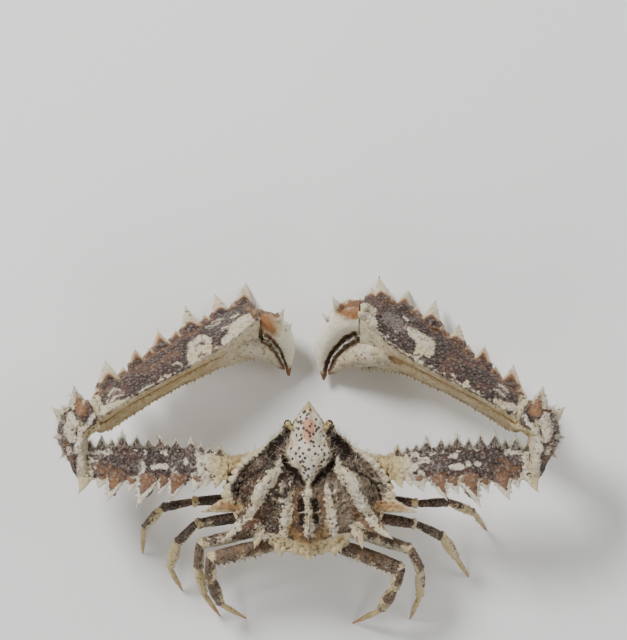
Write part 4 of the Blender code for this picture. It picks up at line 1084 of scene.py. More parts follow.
back.cut("pale", 0.9 * tan_place - 0.4 + 0.3 * grain(back.points, 1.0, 32))
back.add("rust", tan_place)
back.add("ochre", 0.8 * tan_place)
back.add("blush", 0.25 * tan_place - 0.3)
front = np.column_stack([from_middle, back.points[:, 2]])
face = np.minimum.reduce([(0.3 - facing_up) * 4, 0.4 - behind, (8.4 - from_middle) * 2])
back.add("pale", np.minimum(face, 1.0))
back.add("dark", np.minimum(face, strokes(front, FACE_DARK)))
face_lines = np.minimum(face, strokes(front, FACE_LINES) + 0.1 * grain(back.points, 0.6, 31))
back.add("rust", face_lines)
back.cut("pale", face_lines - 0.08)
back.add("blush", np.minimum(face, 0.7 * strokes(front, FACE_ORANGE) + 0.1 * grain(back.points, 0.9, 28)))
white_face = strokes(front, FACE_WHITE)
face_warmth = 0.95 - 0.8 * np.clip(white_face + 0.4, 0, 1)
back.fields["warm"] = np.where(face > 0, face_warmth, back.fields["warm"])
back.add("ochre", np.minimum(face, 0.5 * grain(back.points, 1.3, 29) - 0.1 - white_face))
fleck_map(back, FLECK_PLACES, plan, 0.28)
# more pale flecks on the right side (x below 0) from y = 1 back: painted light that brightens the side away
# from the key light, which the ridge shades
back.fields["fleck"] += 0.26 * (back.points[:, 0] < 0) * (behind > 1.0)
pitted = [mask_edge - 0.3, 5.0 - behind, behind + 8.4, (facing_up - 0.2) * 2]
back.fields["pit"] = np.minimum.reduce(pitted)
open_shell = (mask_edge < -0.3) & (facing_up > 0.0) & (behind < 14.5)
granules = back.points[scattered(back.points, open_shell, 0.72, SEED + 1)]
clumped = np.clip(0.75 + 0.9 * grain(back.points, 1.6, 30), 0.1, 1) * np.clip(0.5 + behind, 0.25, 1)
back.fields["granule"] = beads(back.points, granules, 0.32, SEED) * (mask_edge < -0.2) * clumped
back.lift(0.12 * back.fields["granule"])
near_edge = (facing_up > -0.6) & (facing_up < 0.3) & (from_middle > 3.3) & (back.points[:, 2] > 17.8)
shoulder = near_edge & (behind > -5.4) & (behind < 1.5)
rear = near_edge & (behind > 13.6) & (from_middle < 8.2)
fringe(back, "hairs_back", shoulder, 420, (0.7, 1.9), (0, -0.9, 0.3), "carapace")
fringe(back, "hairs_back_rear", rear, 160, (0.5, 1.2), (0, 0.5, 0.0), "carapace")
back.finish(BACK, ["carapace"])
print("the back carries", len(granules), "granules")

# %% [markdown]
# ## The breast, tail and mouth
# Under the back lies a pale bowl of breast plates, with a short round article at the root of each leg. The
# tail is folded forward beneath it, and two doors close the mouth. They are cream to ochre and smoother.

# %% Sizes of the underside
THORAX_HALF_OUTLINE = [
    (0.0, -1.5), (3.6, -1.5), (5.6, -0.7), (8.3, 1.4), (9.8, 4.8), (9.9, 8.6), (8.8, 12.4), (6.4, 15.4),
    (3.2, 16.6), (0.0, 16.9),
]
THORAX_RIM = 15.0
THORAX_BOTTOM = 9.2
TAIL_LINE = [
    (0, 17.6, 14.6), (0, 17.3, 12.4), (0, 15.4, 9.9), (0, 12.0, 8.6), (0, 8.0, 8.2), (0, 4.6, 8.3),
]
TAIL_WIDTHS = (4.6, 6.2, 6.6, 5.6, 3.8, 1.4)
TAIL_THICKNESS = 1.5
TAIL_RINGS = 6


# Walking legs: root beside the thorax, reach of each article seen from above, and its heading in degrees,
# where 0 is straight out to the side and 90 is straight back
LEGS = {
    ("left", 2): ((9.1, 8.1), (12.0, 5.5, 5.2, 4.8), (3, 12, 48, 86)),
    ("left", 3): ((8.6, 10.9), (11.9, 4.9, 4.8, 4.9), (9, 46, 73, 116)),
    ("left", 4): ((7.9, 13.3), (12.1, 4.5, 4.7, 5.2), (15, 86, 101, 123)),
    ("left", 5): ((5.9, 15.9), (12.2, 3.8, 4.9, 5.4), (15, 91, 110, 148)),
    ("right", 2): ((9.3, 8.1), (10.6, 5.5, 5.1, 4.2), (5, -2, 24, 54)),
    ("right", 3): ((8.6, 10.9), (11.1, 5.3, 4.6, 4.4), (10, 26, 57, 57)),
    ("right", 4): ((7.9, 13.3), (11.2, 4.3, 4.9, 4.7), (21, 64, 91, 111)),
    ("right", 5): ((5.9, 15.9), (11.8, 3.9, 4.6, 5.6), (25, 109, 120, 152)),
}
LEG_ROOT_HEIGHTS = {2: 12.0, 3: 11.8, 4: 12.2, 5: 13.4}


# %% Breast plates
def thorax_top(x, y, share):
    return CARAPACE_UNDERSIDE - GAP - 1.3 * (1 - share**10) + 0 * x


def thorax_bottom(x, y, share):
    steep = np.where(y < 0.5, 6.0, 3.0)
    return THORAX_BOTTOM + (THORAX_RIM - THORAX_BOTTOM) * share**steep - 0.3 * hump(x, 2.5) * (1 - share)


def leg_coxae():
    """The short first articles of the legs, beside the breast plates."""
    parts = []
    for (side, number), (root, _, headings) in LEGS.items():
        out = np.array((math.cos(math.radians(headings[0])), math.sin(math.radians(headings[0])), 0.0))
        axes = [out, np.cross((0, 0, 1), out), (0, 0, 1)]
        centre = np.array((*root, LEG_ROOT_HEIGHTS[number])) - out * 0.4
        egg = knob(centre, (2.1, 1.25, 1.45), axes)
        parts.append(both_sides(egg)[side == "right"])
    return parts


breast_outline = whole_outline(THORAX_HALF_OUTLINE, 60)
bowl = pillow(breast_outline, (0.0, 6.5), thorax_top, thorax_bottom, 30)
breast = Skin("breast_plates", [bowl, *leg_coxae()], 0.16)
seams = np.zeros(len(breast.points))
from_middle = np.abs(breast.points[:, 0])
for seam in (6.4, 9.4, 12.2, 14.6, 3.2):
    slant = seam + 0.12 * from_middle
    seams += hump(breast.points[:, 1] - slant, 0.22)
below = np.clip(-breast.normals[:, 2], 0, 1)
# a three-sided hollow under the mouth, where the bases of the claws meet. Its rust brown is its own colour,
# and the dark inside it is painted shade
drop = 13.5 - breast.points[:, 2]
hollow = np.minimum.reduce([drop * 1.1 - from_middle, 3.0 - drop, -1.5 * breast.normals[:, 1]])
cavity = np.clip(hollow, 0, 1)
sunk = 0.3 * seams * below + 1.1 * cavity * cavity * (3 - 2 * cavity)
breast.lift(0.05 * grain(breast.points, 1.2, 5) - sunk)
breast.add("pale", 1.0)
breast.cut("pale", hollow - 0.35 + 0.4 * grain(breast.points, 1.0, 7))
breast.cut("pale", np.minimum(0.32 - np.abs(breast.points[:, 0]), -0.5 - breast.normals[:, 1]))
breast.add("rust", hollow - 0.1)
# painted shade: dark that grows further inside the hollow, in bands
breast.add("dark", 0.6 * hollow - 0.35 + 0.3 * np.sin(drop * 7))
in_shade = np.clip(1 - np.abs(hollow), 0, 0.6)
breast.fields["warm"] = np.clip(0.75 + 0.5 * grain(breast.points, 3.0, 6) - in_shade, 0, 1)
breast.add("ochre", -0.35 + 0.7 * seams * below + 0.4 * grain(breast.points, 1.5, 8))
breast.finish(BREAST, ["thorax"])

# %% Tail flap
flap = tube(TAIL_LINE, TAIL_WIDTHS, [TAIL_THICKNESS] * len(TAIL_LINE), stations=60)
tail = Skin("tail_flap", [flap], 0.13)
travel = tail.points[:, 1] * 0.9 - tail.points[:, 2] * 0.6
ring_length = (travel.max() - travel.min()) / TAIL_RINGS
between = np.abs((travel - travel.min()) / ring_length % 1 - 0.5)
groove = hump(between - 0.5, 0.09)
tail.lift(-0.22 * groove + 0.04 * grain(tail.points, 0.9, 8))
tail.add("pale", 1.0)
tail.add("ochre", groove * 0.9 - 0.7)
tail.fields["warm"] = np.clip(0.6 + 0.4 * grain(tail.points, 2.0, 9), 0, 1)
tail.finish(BREAST, ["abdomen"])

# %% [markdown]
# Each mouth door is a plate in two lengths with a cross groove, a rounded shoulder, and brown rings on the
# upper length. A slender feeler-bearing strip runs along its outer side.

# %% Mouth doors
DOOR_FOOT = (1.95, -1.95, 14.1)
DOOR_HEAD = (1.85, -2.95, 18.5)
DOOR_HALF_WIDTH = 1.78
DOOR_THICKNESS = 0.9
DOOR_JOINT = 0.60
DOOR_SPOTS = [(0.15, 0.80, 0.42), (-0.25, 0.42, 0.34)]


def door(side, mirrored):
    low, high = np.array(DOOR_FOOT), np.array(DOOR_HEAD)
    upward = unit(high - low)
    outward = unit(np.cross(high - low, (1, 0, 0)))
    axes = [(1, 0, 0), upward, outward]
    length = np.linalg.norm(high - low)
    half = DOOR_THICKNESS / 2
    lower = knob(low + (high - low) * 0.34, (DOOR_HALF_WIDTH * 0.94, length * 0.40, half), axes, 16, 28)
    upper = knob(low + (high - low) * 0.73, (DOOR_HALF_WIDTH * 0.96, length * 0.31, half), axes, 16, 28)
    plate = tube([low, high], (2.9, 3.35), (0.55, 0.6), 20, upward, upward, 20)
    strip_line = [low + (1.55, 0.05, 0.2), high + (1.5, 0.1, -0.2)]
    strip = tube(strip_line, (0.5, 0.4), (0.6, 0.5), 12, stations=12)
    made = Skin(f"mouth_door_{side}", [plate, lower, upper, strip], 0.08)
    offset = made.points - low
    across, share = offset[:, 0] / DOOR_HALF_WIDTH, offset @ upward / length
    made.lift(-0.09 * hump(share - DOOR_JOINT, 0.03) - 0.12 * hump(across - 0.8, 0.07))
    made.add("pale", 1.0)
    made.fields["warm"] = np.clip(0.85 + 0.4 * grain(made.points, 1.0, 11), 0, 1)
    made.add("ochre", 0.4 * grain(made.points, 0.8, 12) - 0.15 + 0.3 * hump(across - 0.8, 0.12))
    for at, height, radius in DOOR_SPOTS:
        away = np.hypot((across - at) * DOOR_HALF_WIDTH, (share - height) * length)
        made.add("rust", 0.16 - np.abs(away - radius))
    made.cut("pale", made.fields["rust"] - 0.02)
    made.cut("pale", 0.05 - np.abs(share - DOOR_JOINT) * length)
    made.finish(BREAST, [f"maxilliped_{side}"], mirrored)


for side, mirrored in SIDES:
    door(side, mirrored)

# %% [markdown]
# ## Eyes and feelers
# The eyes are glossy dark beads on short mottled stalks. The inner feelers are folded into small eggs in
# their pits, with a few rings. Both are small, so they get a much finer skin than the rest.

# %% Eyes
EYE = (3.7, -5.5, 23.1)
EYE_RADIUS = 0.72
EYE_STALK_FOOT = (2.7, -4.5, 22.7)
EYE_STALK_SIZES = (0.9, 1.1)


def eye(side, mirrored):
    centre = np.array(EYE)
    stalk_line = [EYE_STALK_FOOT, centre + (-0.1, 0.15, -0.05)]
    stalk = tube(stalk_line, EYE_STALK_SIZES, EYE_STALK_SIZES, 16, stations=10)
    made = Skin(f"eye_{side}_bead", [knob(centre, (EYE_RADIUS,) * 3, rows=24, sides=32), stalk], 0.05, 3)
    looking = unit(made.points - centre) @ unit((0.55, -0.75, -0.35))
    cornea = (looking - 0.15) * EYE_RADIUS
    made.add("dark", cornea - 0.08 + 0.22 * grain(made.points, 0.35, 14))
    made.add("pale", 0.35 * grain(made.points, 0.5, 13) - 0.1 - cornea * 0.3)
    made.add("ochre", -0.1)
    made.add("warm", 0.9)
    made.lift(0.03 * np.clip(cornea * 8, 0, 1))
    made.finish(EYE_MATERIAL, [f"eye_{side}"], mirrored)


EYE_MATERIAL = shell_material("eye_bead", "soot", "brown", "tan", roughness=0.16, bump=0.05)
for side, mirrored in SIDES:
    eye(side, mirrored)

# %% Folded feelers
ANTENNULE = (1.7, -4.5, 20.9)
ANTENNULE_RADII = (0.95, 0.9, 1.3)
ANTENNULE_LEAN = 0.5
STUB_LINE = [(1.9, -5.1, 20.0), (1.5, -5.6, 21.2), (1.2, -5.3, 22.0)]
STUB_SIZES = (0.6, 0.5, 0.3)


def folded_feeler(side, mirrored):
    lean = np.array([
        (1, 0, 0),
        (0, math.cos(ANTENNULE_LEAN), math.sin(ANTENNULE_LEAN)),
        (0, -math.sin(ANTENNULE_LEAN), math.cos(ANTENNULE_LEAN)),
    ])
    egg = knob(ANTENNULE, ANTENNULE_RADII, lean, 24, 28)
    stub = tube(STUB_LINE, STUB_SIZES, STUB_SIZES, 12)
    made = Skin(f"feeler_{side}", [egg, stub], 0.06)
    height = made.points[:, 2]
    made.lift(-0.04 * (0.5 + 0.5 * np.cos(height * 2 * np.pi / 0.42)))
    made.add("pale", 1.0)
    made.add("warm", 0.7)
    made.add("rust", 0.3 - np.abs(height - 20.4))
    made.cut("pale", made.fields["rust"])
    made.finish(BREAST, [f"antennule_{side}"], mirrored)


for side, mirrored in SIDES:
    folded_feeler(side, mirrored)

# %% [markdown]
# ## The long claws
# A claw folds at its elbow. The arm and the hand are three-sided bars whose edges carry spines, and the
# elbow block between them turns the corner. The two claws differ in size and pose, so each has its own
# numbers, while the functions are shared. The right claw is made on the left side and mirrored at the end.

# %% Sizes of the arm and the elbow
CLAW_BASE_LINE = [(4.0, 0.8, 12.2), (7.4, 1.4, 13.2), (11.2, 2.0, 15.3), (14.25, 2.2, 17.3)]
CLAW_BASE_SIZES = (4.0, 4.4, 4.2, 3.7)
MERUS_EDGES = {
    "front": [(14.4, 0.0, 18.4), (20.9, -1.1, 18.5), (27.5, -1.5, 18.6), (34.0, -1.6, 18.7),
              (40.6, -1.0, 18.6)],
    "back": [(14.4, 4.4, 19.2), (20.9, 4.9, 19.9), (27.5, 5.0, 20.2), (34.0, 5.0, 20.1), (40.6, 4.3, 19.6)],
    "keel": [(14.4, 2.3, 15.6), (20.9, 2.2, 15.1), (27.5, 2.0, 15.0), (34.0, 2.0, 15.1), (40.6, 1.8, 15.6)],
}
ARM_BULGES = (0.9, 0.5, 0.5)
ELBOW_PLANE = (40.9, 1.6, 18.0)
SHOULDER_PLANE = (14.4, 2.2, 17.5)
WRIST_PLANE = (38.2, -7.0, 16.0)
WRIST_FACING = (-0.89, -0.457, 0.0)
# Place along the edge from the body outwards, length, and the share that its brown core reaches
MERUS_BACK_SPINES = [
    (0.08, 1.6, 0.0), (0.15, 1.2, 0.0), (0.22, 2.3, 0.3), (0.36, 3.6, 0.86), (0.45, 2.2, 0.7),
    (0.57, 4.4, 0.74), (0.67, 1.8, 0.6), (0.79, 3.5, 0.62), (0.88, 1.6, 0.3), (0.99, 2.6, 0.0),
]
# Place and length of each front spine
MERUS_FRONT_SPINES = [
    (0.06, 1.6), (0.13, 0.9), (0.19, 1.2), (0.26, 2.1), (0.36, 1.7), (0.42, 1.0), (0.47, 2.3), (0.55, 1.6),
    (0.63, 2.3), (0.73, 2.8), (0.80, 1.5), (0.87, 2.1), (0.95, 1.6),
]
CARPUS_OUTLINE = [
    (39.6, -1.0), (39.6, -3.0), (37.8, -4.3), (35.8, -5.4), (36.9, -8.8), (39.4, -9.6), (41.6, -9.3),
    (43.0, -8.4), (44.2, -6.9), (44.9, -5.0), (45.0, -2.6), (44.2, -0.8), (42.9, 1.4), (41.8, 3.8),
    (39.8, 3.8),
]
CARPUS_MIDDLE = (42.0, -3.4, 18.3)
CARPUS_HALF_HEIGHT = 4.3
CARPUS_SPINES = [
    ((41.3, -8.0, 19.0), (42.1, -12.1, 19.8), 4.4, 2.4),
    ((43.4, -6.0, 18.4), (46.1, -8.4, 18.2), 3.4, 2.0),
    ((44.0, -3.3, 17.6), (46.1, -2.9, 17.2), 2.3, 1.6),
    ((43.4, -7.9, 20.6), (44.5, -9.0, 21.4), 1.5, 1.2),
    ((43.6, -0.4, 18.6), (44.7, 0.8, 19.0), 1.5, 1.2),
    ((41.4, -5.2, 22.2), (41.0, -5.6, 23.4), 2.4, 2.0),
    ((42.6, -0.8, 21.4), (42.9, -0.2, 22.5), 1.6, 1.4),
    ((44.0, -5.6, 15.8), (45.7, -6.8, 14.8), 1.9, 1.4),
    ((42.2, -8.4, 16.0), (42.9, -10.6, 14.9), 1.8, 1.4),
]

# %% Sizes of the hands
PALM_CREST_SPINES = [
    (0.06, 1.1), (0.16, 1.0), (0.27, 0.9), (0.38, 1.0), (0.48, 1.3), (0.56, 1.0), (0.64, 1.3), (0.72, 2.0),
    (0.81, 1.3), (0.89, 1.8), (0.97, 1.9),
]
PALM_INNER_TEETH = 40
PALM_INNER_TOOTH = 0.62
HANDS = {
    "left": {
        "outer": [(38.6, -10.4, 12.2), (31.6, -15.8, 9.6), (24.9, -20.2, 7.0), (18.3, -23.9, 4.6),
                  (11.2, -27.3, 2.8)],
        "crest": [(37.2, -7.0, 19.2), (29.6, -11.5, 18.3), (22.4, -15.3, 16.9), (15.2, -19.6, 15.4),
                  (8.6, -24.8, 13.6)],
        "inner": [(36.6, -4.0, 13.2), (29.8, -8.5, 11.4), (23.1, -12.2, 9.6), (16.1, -15.5, 7.6),
                  (9.6, -17.4, 5.6)],
        # place, reach forwards and drop of each outer spine, and the share that its core reaches
        "spines": [
            (0.02, 1.3, 0.6, 0.2), (0.09, 5.4, 2.6, 0.46), (0.18, 1.5, 0.8, 0.45), (0.27, 3.3, 1.9, 0.72),
            (0.35, 1.6, 1.0, 0.6), (0.43, 4.0, 2.6, 0.60), (0.53, 1.8, 1.2, 0.6), (0.63, 4.8, 3.4, 0.34),
            (0.73, 1.9, 1.4, 0.5), (0.83, 4.3, 4.3, 0.30), (0.905, 1.5, 1.2, 0.6), (0.97, 4.2, 3.5, 0.38),
        ],
        "finger_plane": (8.75, -24.0, 8.6),
        "finger_facing": (-0.99, -0.12, 0.0),
        "dactyl": [(9.6, -23.3, 8.6), (7.2, -23.0, 8.1), (5.2, -21.5, 6.6), (3.9, -18.8, 4.6),
                   (3.6, -14.0, 2.4)],
        "dactyl_widths": (5.0, 5.0, 4.2, 2.7, 0.45),
        "dactyl_heights": (8.2, 7.4, 5.6, 3.4, 0.5),
        "pollex": [(15.0, -20.4, 9.4), (10.0, -19.3, 7.7), (8.2, -18.5, 6.4), (6.5, -17.1, 4.5),
                   (4.5, -15.2, 2.4)],
        "pollex_widths": (4.8, 4.3, 3.3, 2.1, 0.6),
        "pollex_heights": (6.4, 6.0, 4.8, 3.2, 0.8),
        "hinge_spines": [
            ((5.4, -24.2, 11.0), (4.4, -26.3, 13.2), 1.9, 1.3),
            ((4.0, -22.4, 9.2), (2.9, -23.6, 10.0), 1.4, 1.0),
        ],
    },
    "right": {
        "outer": [(38.6, -10.6, 12.2), (31.6, -16.1, 9.6), (24.9, -21.5, 6.9), (18.3, -25.9, 4.4),
                  (11.2, -28.6, 2.6)],
        "crest": [(37.2, -7.0, 19.2), (29.9, -11.2, 18.4), (22.4, -15.1, 17.1), (15.2, -19.5, 15.7),
                  (8.8, -25.6, 13.9)],
        "inner": [(36.6, -4.0, 13.2), (29.8, -8.3, 11.3), (23.1, -11.9, 9.4), (16.1, -14.7, 7.3),
                  (9.4, -15.5, 5.2)],
        "spines": [
            (0.01, 1.4, 0.7, 0.2), (0.075, 4.6, 2.5, 0.62), (0.17, 1.6, 0.8, 0.6), (0.255, 3.9, 2.2, 0.70),
            (0.345, 1.6, 1.0, 0.5), (0.43, 3.9, 2.7, 0.30), (0.515, 1.7, 1.2, 0.4), (0.60, 4.9, 3.6, 0.36),
            (0.70, 1.7, 1.3, 0.5), (0.785, 3.5, 4.1, 0.46), (0.86, 1.3, 1.1, 0.4), (0.918, 4.2, 3.5, 0.34),
            (0.99, 1.8, 0.4, 0.3),
        ],
        "finger_plane": (9.3, -25.0, 8.6),
        "finger_facing": (-1.0, -0.03, 0.0),
        "dactyl": [(10.2, -25.2, 8.8), (7.4, -24.7, 8.3), (4.7, -22.5, 6.8), (2.5, -18.4, 4.6),
                   (2.8, -13.2, 2.2)],
        "dactyl_widths": (6.6, 6.3, 4.9, 3.0, 0.45),
        "dactyl_heights": (8.6, 7.9, 6.1, 3.8, 0.5),
        "pollex": [(16.0, -19.4, 9.8), (10.8, -18.2, 7.9), (8.2, -17.4, 6.3), (5.8, -16.1, 4.3),
                   (3.8, -14.3, 2.3)],
        "pollex_widths": (5.8, 5.3, 3.9, 2.4, 0.6),
        "pollex_heights": (6.8, 6.4, 5.0, 3.4, 0.8),
        "hinge_spines": [
            ((5.4, -26.4, 11.4), (4.3, -28.3, 13.6), 2.0, 1.4),
            ((3.6, -24.2, 9.4), (2.4, -25.4, 10.3), 1.5, 1.1),
        ],
    },
}

# %% [markdown]
# The markings of the claws are strokes too, in the same plan view. A list holds what a painter would put
# down for each article: white patches with holes, rusty stains and the ochre inner strip.

# %% Markings of the claws
ARM_PALE = {
    "left": [
        [(28.0, -2.1, 0.2), (27.0, -1.5, 0.45), (25.8, -0.3, 0.55)], [(30.9, -0.6, 0.28)],
        [(29.3, -0.3, 0.35)],
        [(27.5, 2.3, 0.5), (25.7, 2.3, 0.5)], [(29.9, 1.3, 0.25), (29.5, 2.3, 0.3), (30.3, 3.2, 0.3)],
        [(39.4, -1.0, 0.7), (37.6, -0.8, 0.9), (35.8, -0.3, 0.6)], [(31.4, 4.4, 0.35), (28.4, 4.7, 0.5)],
        [(32.8, 2.2, 0.15)], [(24.2, 3.4, 0.2)], [(22.2, 0.9, 0.2)], [(34.0, -1.0, 0.15)],
        [(26.6, 3.6, 0.2)],
        [(14.0, 1.0, 3.0), (16.0, 1.8, 2.4)], [(18.4, 4.4, 1.0), (20.4, 4.6, 0.5)], [(17.8, -0.4, 0.6)],
        [(41.0, -1.5, 1.0), (40.9, 1.0, 1.1), (40.0, 4.3, 1.6)],
    ],
    "right": [
        [(28.0, -1.8, 0.3), (27.0, -0.9, 0.32), (26.0, -0.8, 0.2)],
        [(31.0, -1.3, 0.25), (29.8, -1.0, 0.3), (28.6, -1.3, 0.25)],
        [(26.6, 0.2, 0.32), (25.4, 0.2, 0.3)], [(27.4, 2.1, 0.5), (25.8, 2.2, 0.55)], [(28.6, 1.7, 0.5)],
        [(30.3, 1.8, 0.42)], [(39.4, -1.0, 0.8), (37.6, -0.9, 0.9), (35.8, -0.5, 0.5)], [(24.2, -0.6, 0.2)],
        [(14.0, 1.0, 3.0), (15.8, 1.8, 2.2)], [(18.0, 4.4, 1.0), (20.4, 4.8, 0.6)], [(17.2, -0.4, 0.6)],
        [(40.4, -1.5, 1.3), (40.2, 1.0, 1.5), (39.8, 4.3, 1.6)], [(29.0, 4.2, 0.6), (27.6, 4.3, 0.5)],
        [(22.4, 1.4, 0.2)], [(32.6, 0.4, 0.15)],
    ],
}
ARM_RUST = {
    "left": [[(38.0, 2.4, 0.6), (36.2, 3.2, 1.1), (34.0, 3.4, 0.6)]],
    "right": [[(38.0, 2.6, 0.6), (35.8, 2.8, 1.1), (33.6, 3.6, 0.6)], [(24.0, 4.4, 0.6)]],
}
ARM_FLECKS = {
    "left": [([(23.6, 1.4, 1.8), (20.4, 1.0, 1.8)], 0.48), ([(38.2, 0.4, 1.2)], 0.55),
             ([(30.6, 2.6, 1.2)], 0.55),
             ([(34.2, 1.0, 1.2), (32.0, -0.2, 0.8)], 0.26), ([(28.2, 0.6, 0.8)], 0.36)],
    "right": [([(23.4, 1.6, 1.8), (20.0, 1.0, 1.8)], 0.48), ([(37.6, 0.2, 1.4)], 0.55),
              ([(31.6, 2.6, 1.0)], 0.50),
              ([(33.6, 0.6, 1.4)], 0.24), ([(22.6, -0.6, 0.8)], 0.30)],
}
HAND_PALE = {
    "left": [
        [(39.4, -10.6, 1.4), (38.6, -8.0, 1.7), (37.2, -5.6, 1.4)],
        [(36.4, -8.2, 0.8), (33.4, -9.2, 0.6), (31.4, -10.0, 0.3)],
        [(21.2, -19.6, 0.75), (19.8, -20.9, 0.55), (18.2, -20.6, 0.55), (17.9, -19.0, 0.55),
         (17.9, -17.0, 0.6),
         (19.4, -16.2, 0.75), (20.9, -16.8, 0.8), (21.4, -18.2, 0.5)],
        [(20.2, -18.4, 1.1), (19.1, -18.9, 0.8)], [(19.0, -15.9, 0.8), (20.6, -15.4, 0.6)],
        [(24.6, -16.0, 0.1), (23.7, -16.4, 0.16), (22.8, -15.9, 0.13)], [(22.6, -14.4, 0.2)],
        [(36.0, -10.5, 0.12), (35.2, -11.6, 0.16), (34.0, -11.6, 0.12)],
        [(35.6, -9.4, 0.12), (34.6, -10.5, 0.16), (33.4, -10.8, 0.12)], [(36.2, -9.6, 0.25)],
        [(14.8, -20.2, 0.9), (13.0, -22.6, 1.2), (11.2, -23.8, 1.4), (9.8, -21.6, 1.9), (12.2, -19.6, 1.5)],
        [(16.0, -19.0, 0.3), (14.6, -18.8, 0.8)],
        [(18.6, -22.6, 0.1), (17.2, -23.0, 0.16), (16.0, -23.7, 0.12)],
        [(17.4, -23.8, 0.1), (15.6, -24.4, 0.14)],
        [(15.6, -22.4, 0.12), (14.4, -22.9, 0.16)], [(14.0, -24.4, 0.15), (12.8, -25.2, 0.2)],
        [(28.6, -12.4, 0.2)],
        [(26.3, -13.5, 0.2)], [(26.4, -12.3, 0.18)], [(24.9, -14.4, 0.16)], [(30.0, -11.2, 0.22)],
    ],
    "right": [
        [(39.8, -10.6, 1.4), (38.9, -8.0, 1.6), (37.4, -5.8, 1.4)],
        [(36.8, -8.4, 0.7), (35.2, -8.8, 0.8), (33.6, -9.5, 0.5)],
        [(28.5, -12.7, 0.5)], [(26.2, -14.0, 0.3)], [(30.6, -11.0, 0.3)], [(26.2, -12.9, 0.25)],
        [(24.4, -14.4, 0.25)],
        [(17.7, -22.8, 0.3), (18.7, -21.9, 0.7), (20.3, -20.6, 1.0), (22.0, -19.8, 1.0), (21.8, -18.6, 1.0),
         (20.4, -19.0, 1.2), (19.4, -17.4, 0.6)],
        [(18.6, -15.8, 0.75), (20.2, -16.2, 0.6)], [(17.3, -24.8, 0.2), (18.0, -24.2, 0.25)],
        [(14.3, -21.2, 0.25)], [(15.8, -22.0, 0.2)], [(15.6, -20.6, 0.2)],
        [(36.0, -11.2, 0.14), (35.0, -12.2, 0.16), (34.2, -12.6, 0.12)],
        [(35.4, -10.4, 0.14), (34.4, -11.2, 0.16), (33.4, -11.6, 0.12)],
        [(11.6, -23.2, 0.9), (10.4, -22.0, 1.9), (11.4, -19.4, 2.0), (13.0, -17.8, 1.5)],
        [(15.0, -17.6, 0.5), (16.8, -16.6, 0.4)], [(12.0, -25.8, 0.4)],
        [(10.2, -25.8, 1.5), (10.6, -24.0, 1.5)],
    ],
}
HAND_HOLES = {
    "left": [
        [(19.6, -20.0, 0.10), (18.7, -20.3, 0.15), (18.5, -19.9, 0.08)],
        [(20.5, -18.9, 0.12), (20.2, -18.4, 0.1)],
        [(19.9, -17.4, 0.14), (19.2, -17.9, 0.2), (18.4, -18.2, 0.15)], [(21.4, -19.2, 0.12)],
    ],
    "right": [[(19.8, -17.9, 0.25), (19.0, -17.7, 0.2)], [(20.4, -16.7, 0.13)], [(22.4, -20.4, 0.15)],
              [(19.0, -20.4, 0.1)]],
}
HAND_RUST = {
    "left": [[(9.6, -25.4, 0.7), (11.0, -26.2, 0.5)], [(31.0, -14.0, 0.1), (24.0, -18.2, 0.3)]],
    "right": [[(16.6, -16.4, 0.5), (14.8, -17.2, 0.4)], [(12.9, -26.5, 0.5)],
              [(30.0, -15.6, 0.05), (25.4, -17.4, 0.2)]],
}
HAND_OCHRE = {
    "left": [[(14.6, -17.0, 0.0), (17.4, -15.6, 0.1)]],
    "right": [[(15.0, -17.8, 0.5), (16.6, -16.8, 0.9), (18.0, -15.8, 0.5)]],
}
HAND_FLECKS = {
    "left": [([(16.6, -23.4, 1.6), (14.0, -24.6, 1.4)], 0.50), ([(22.0, -22.0, 0.8)], 0.45),
             ([(35.0, -10.6, 1.4)], 0.55),
             ([(16.2, -20.4, 0.7)], 0.2), ([(30.0, -13.6, 2.2), (24.6, -17.2, 2.0)], 0.0)],
    "right": [([(16.6, -23.0, 1.6), (14.4, -24.4, 1.4)], 0.60), ([(19.2, -24.6, 0.8)], 0.5),
              ([(35.0, -11.4, 1.4)], 0.55),
              ([(24.0, -15.6, 0.6)], 0.55)],
}


# %% Spines along an edge
# Factors on the fields of a spine. The larger one gives its markings the cleaner edge
CLEAN = 2.5
SOFTER = 1.3
# Spines broader than this carry small teeth on their flanks, which point along the arm
FLANKED_WIDTH = 3.4
ALONG_ARM = np.array((1.0, 0.0, 0.0))


def edge_spine(rng, edge, place, reach, width, across=0.55, lean=0.0, hook=0.0):
    """A spine on an edge: its body, and (root, tip, width) for its markings.

    lean moves the tip along the edge and hook bends the middle the same way, in shares of the length.
    """
    root, along = on_line(edge, place)
    reach = np.array(reach, float) * rng.uniform(0.93, 1.07)
    length = float(np.linalg.norm(reach))
    start = root - reach / length * 0.25
    tip = root + reach + along * lean * length
    sink = 0.4 + 0.16 * length
    made = spine(start, tip, width, width * across, along, sink=sink, hook=along * hook * length)
    return made, (start, tip, width)


def joint_skin(point, facing, width, height, thickness=1.3):
    """The soft skin that fills a joint: a low egg across the gap between two articles."""
    facing = unit(facing)
    level = unit(np.cross((0, 0, 1), facing))
    axes = [facing, level, np.cross(facing, level)]
    return knob(point, (thickness, width / 2, height / 2), axes, 14, 20)


def flank_teeth(spines):
    """Small teeth on both flanks of the large ones among these edge spines."""
    teeth = []
    for root, tip, width in (marks for _, marks in spines if marks[2] > FLANKED_WIDTH):
        out = unit(tip - root)
        length = np.linalg.norm(tip - root)
        for share, way in itertools.product((0.18, 0.4, 0.6), (-1, 1)):
            side = unit(ALONG_ARM - out * np.dot(ALONG_ARM, out)) * way
            start = root + (tip - root) * share + side * width * 0.42 * (1 - share) ** SPINE_TAPER
            end = start + (side * 0.4 + out) * 0.08 * length
            teeth.append(spine(start, end, 0.4, 0.34, ALONG_ARM, 8, 0.2))
    return teeth


def size_at(share, sizes):
    """The size at a share of the way through evenly spaced sizes."""
    return np.interp(share, np.linspace(0, 1, len(sizes)), sizes)


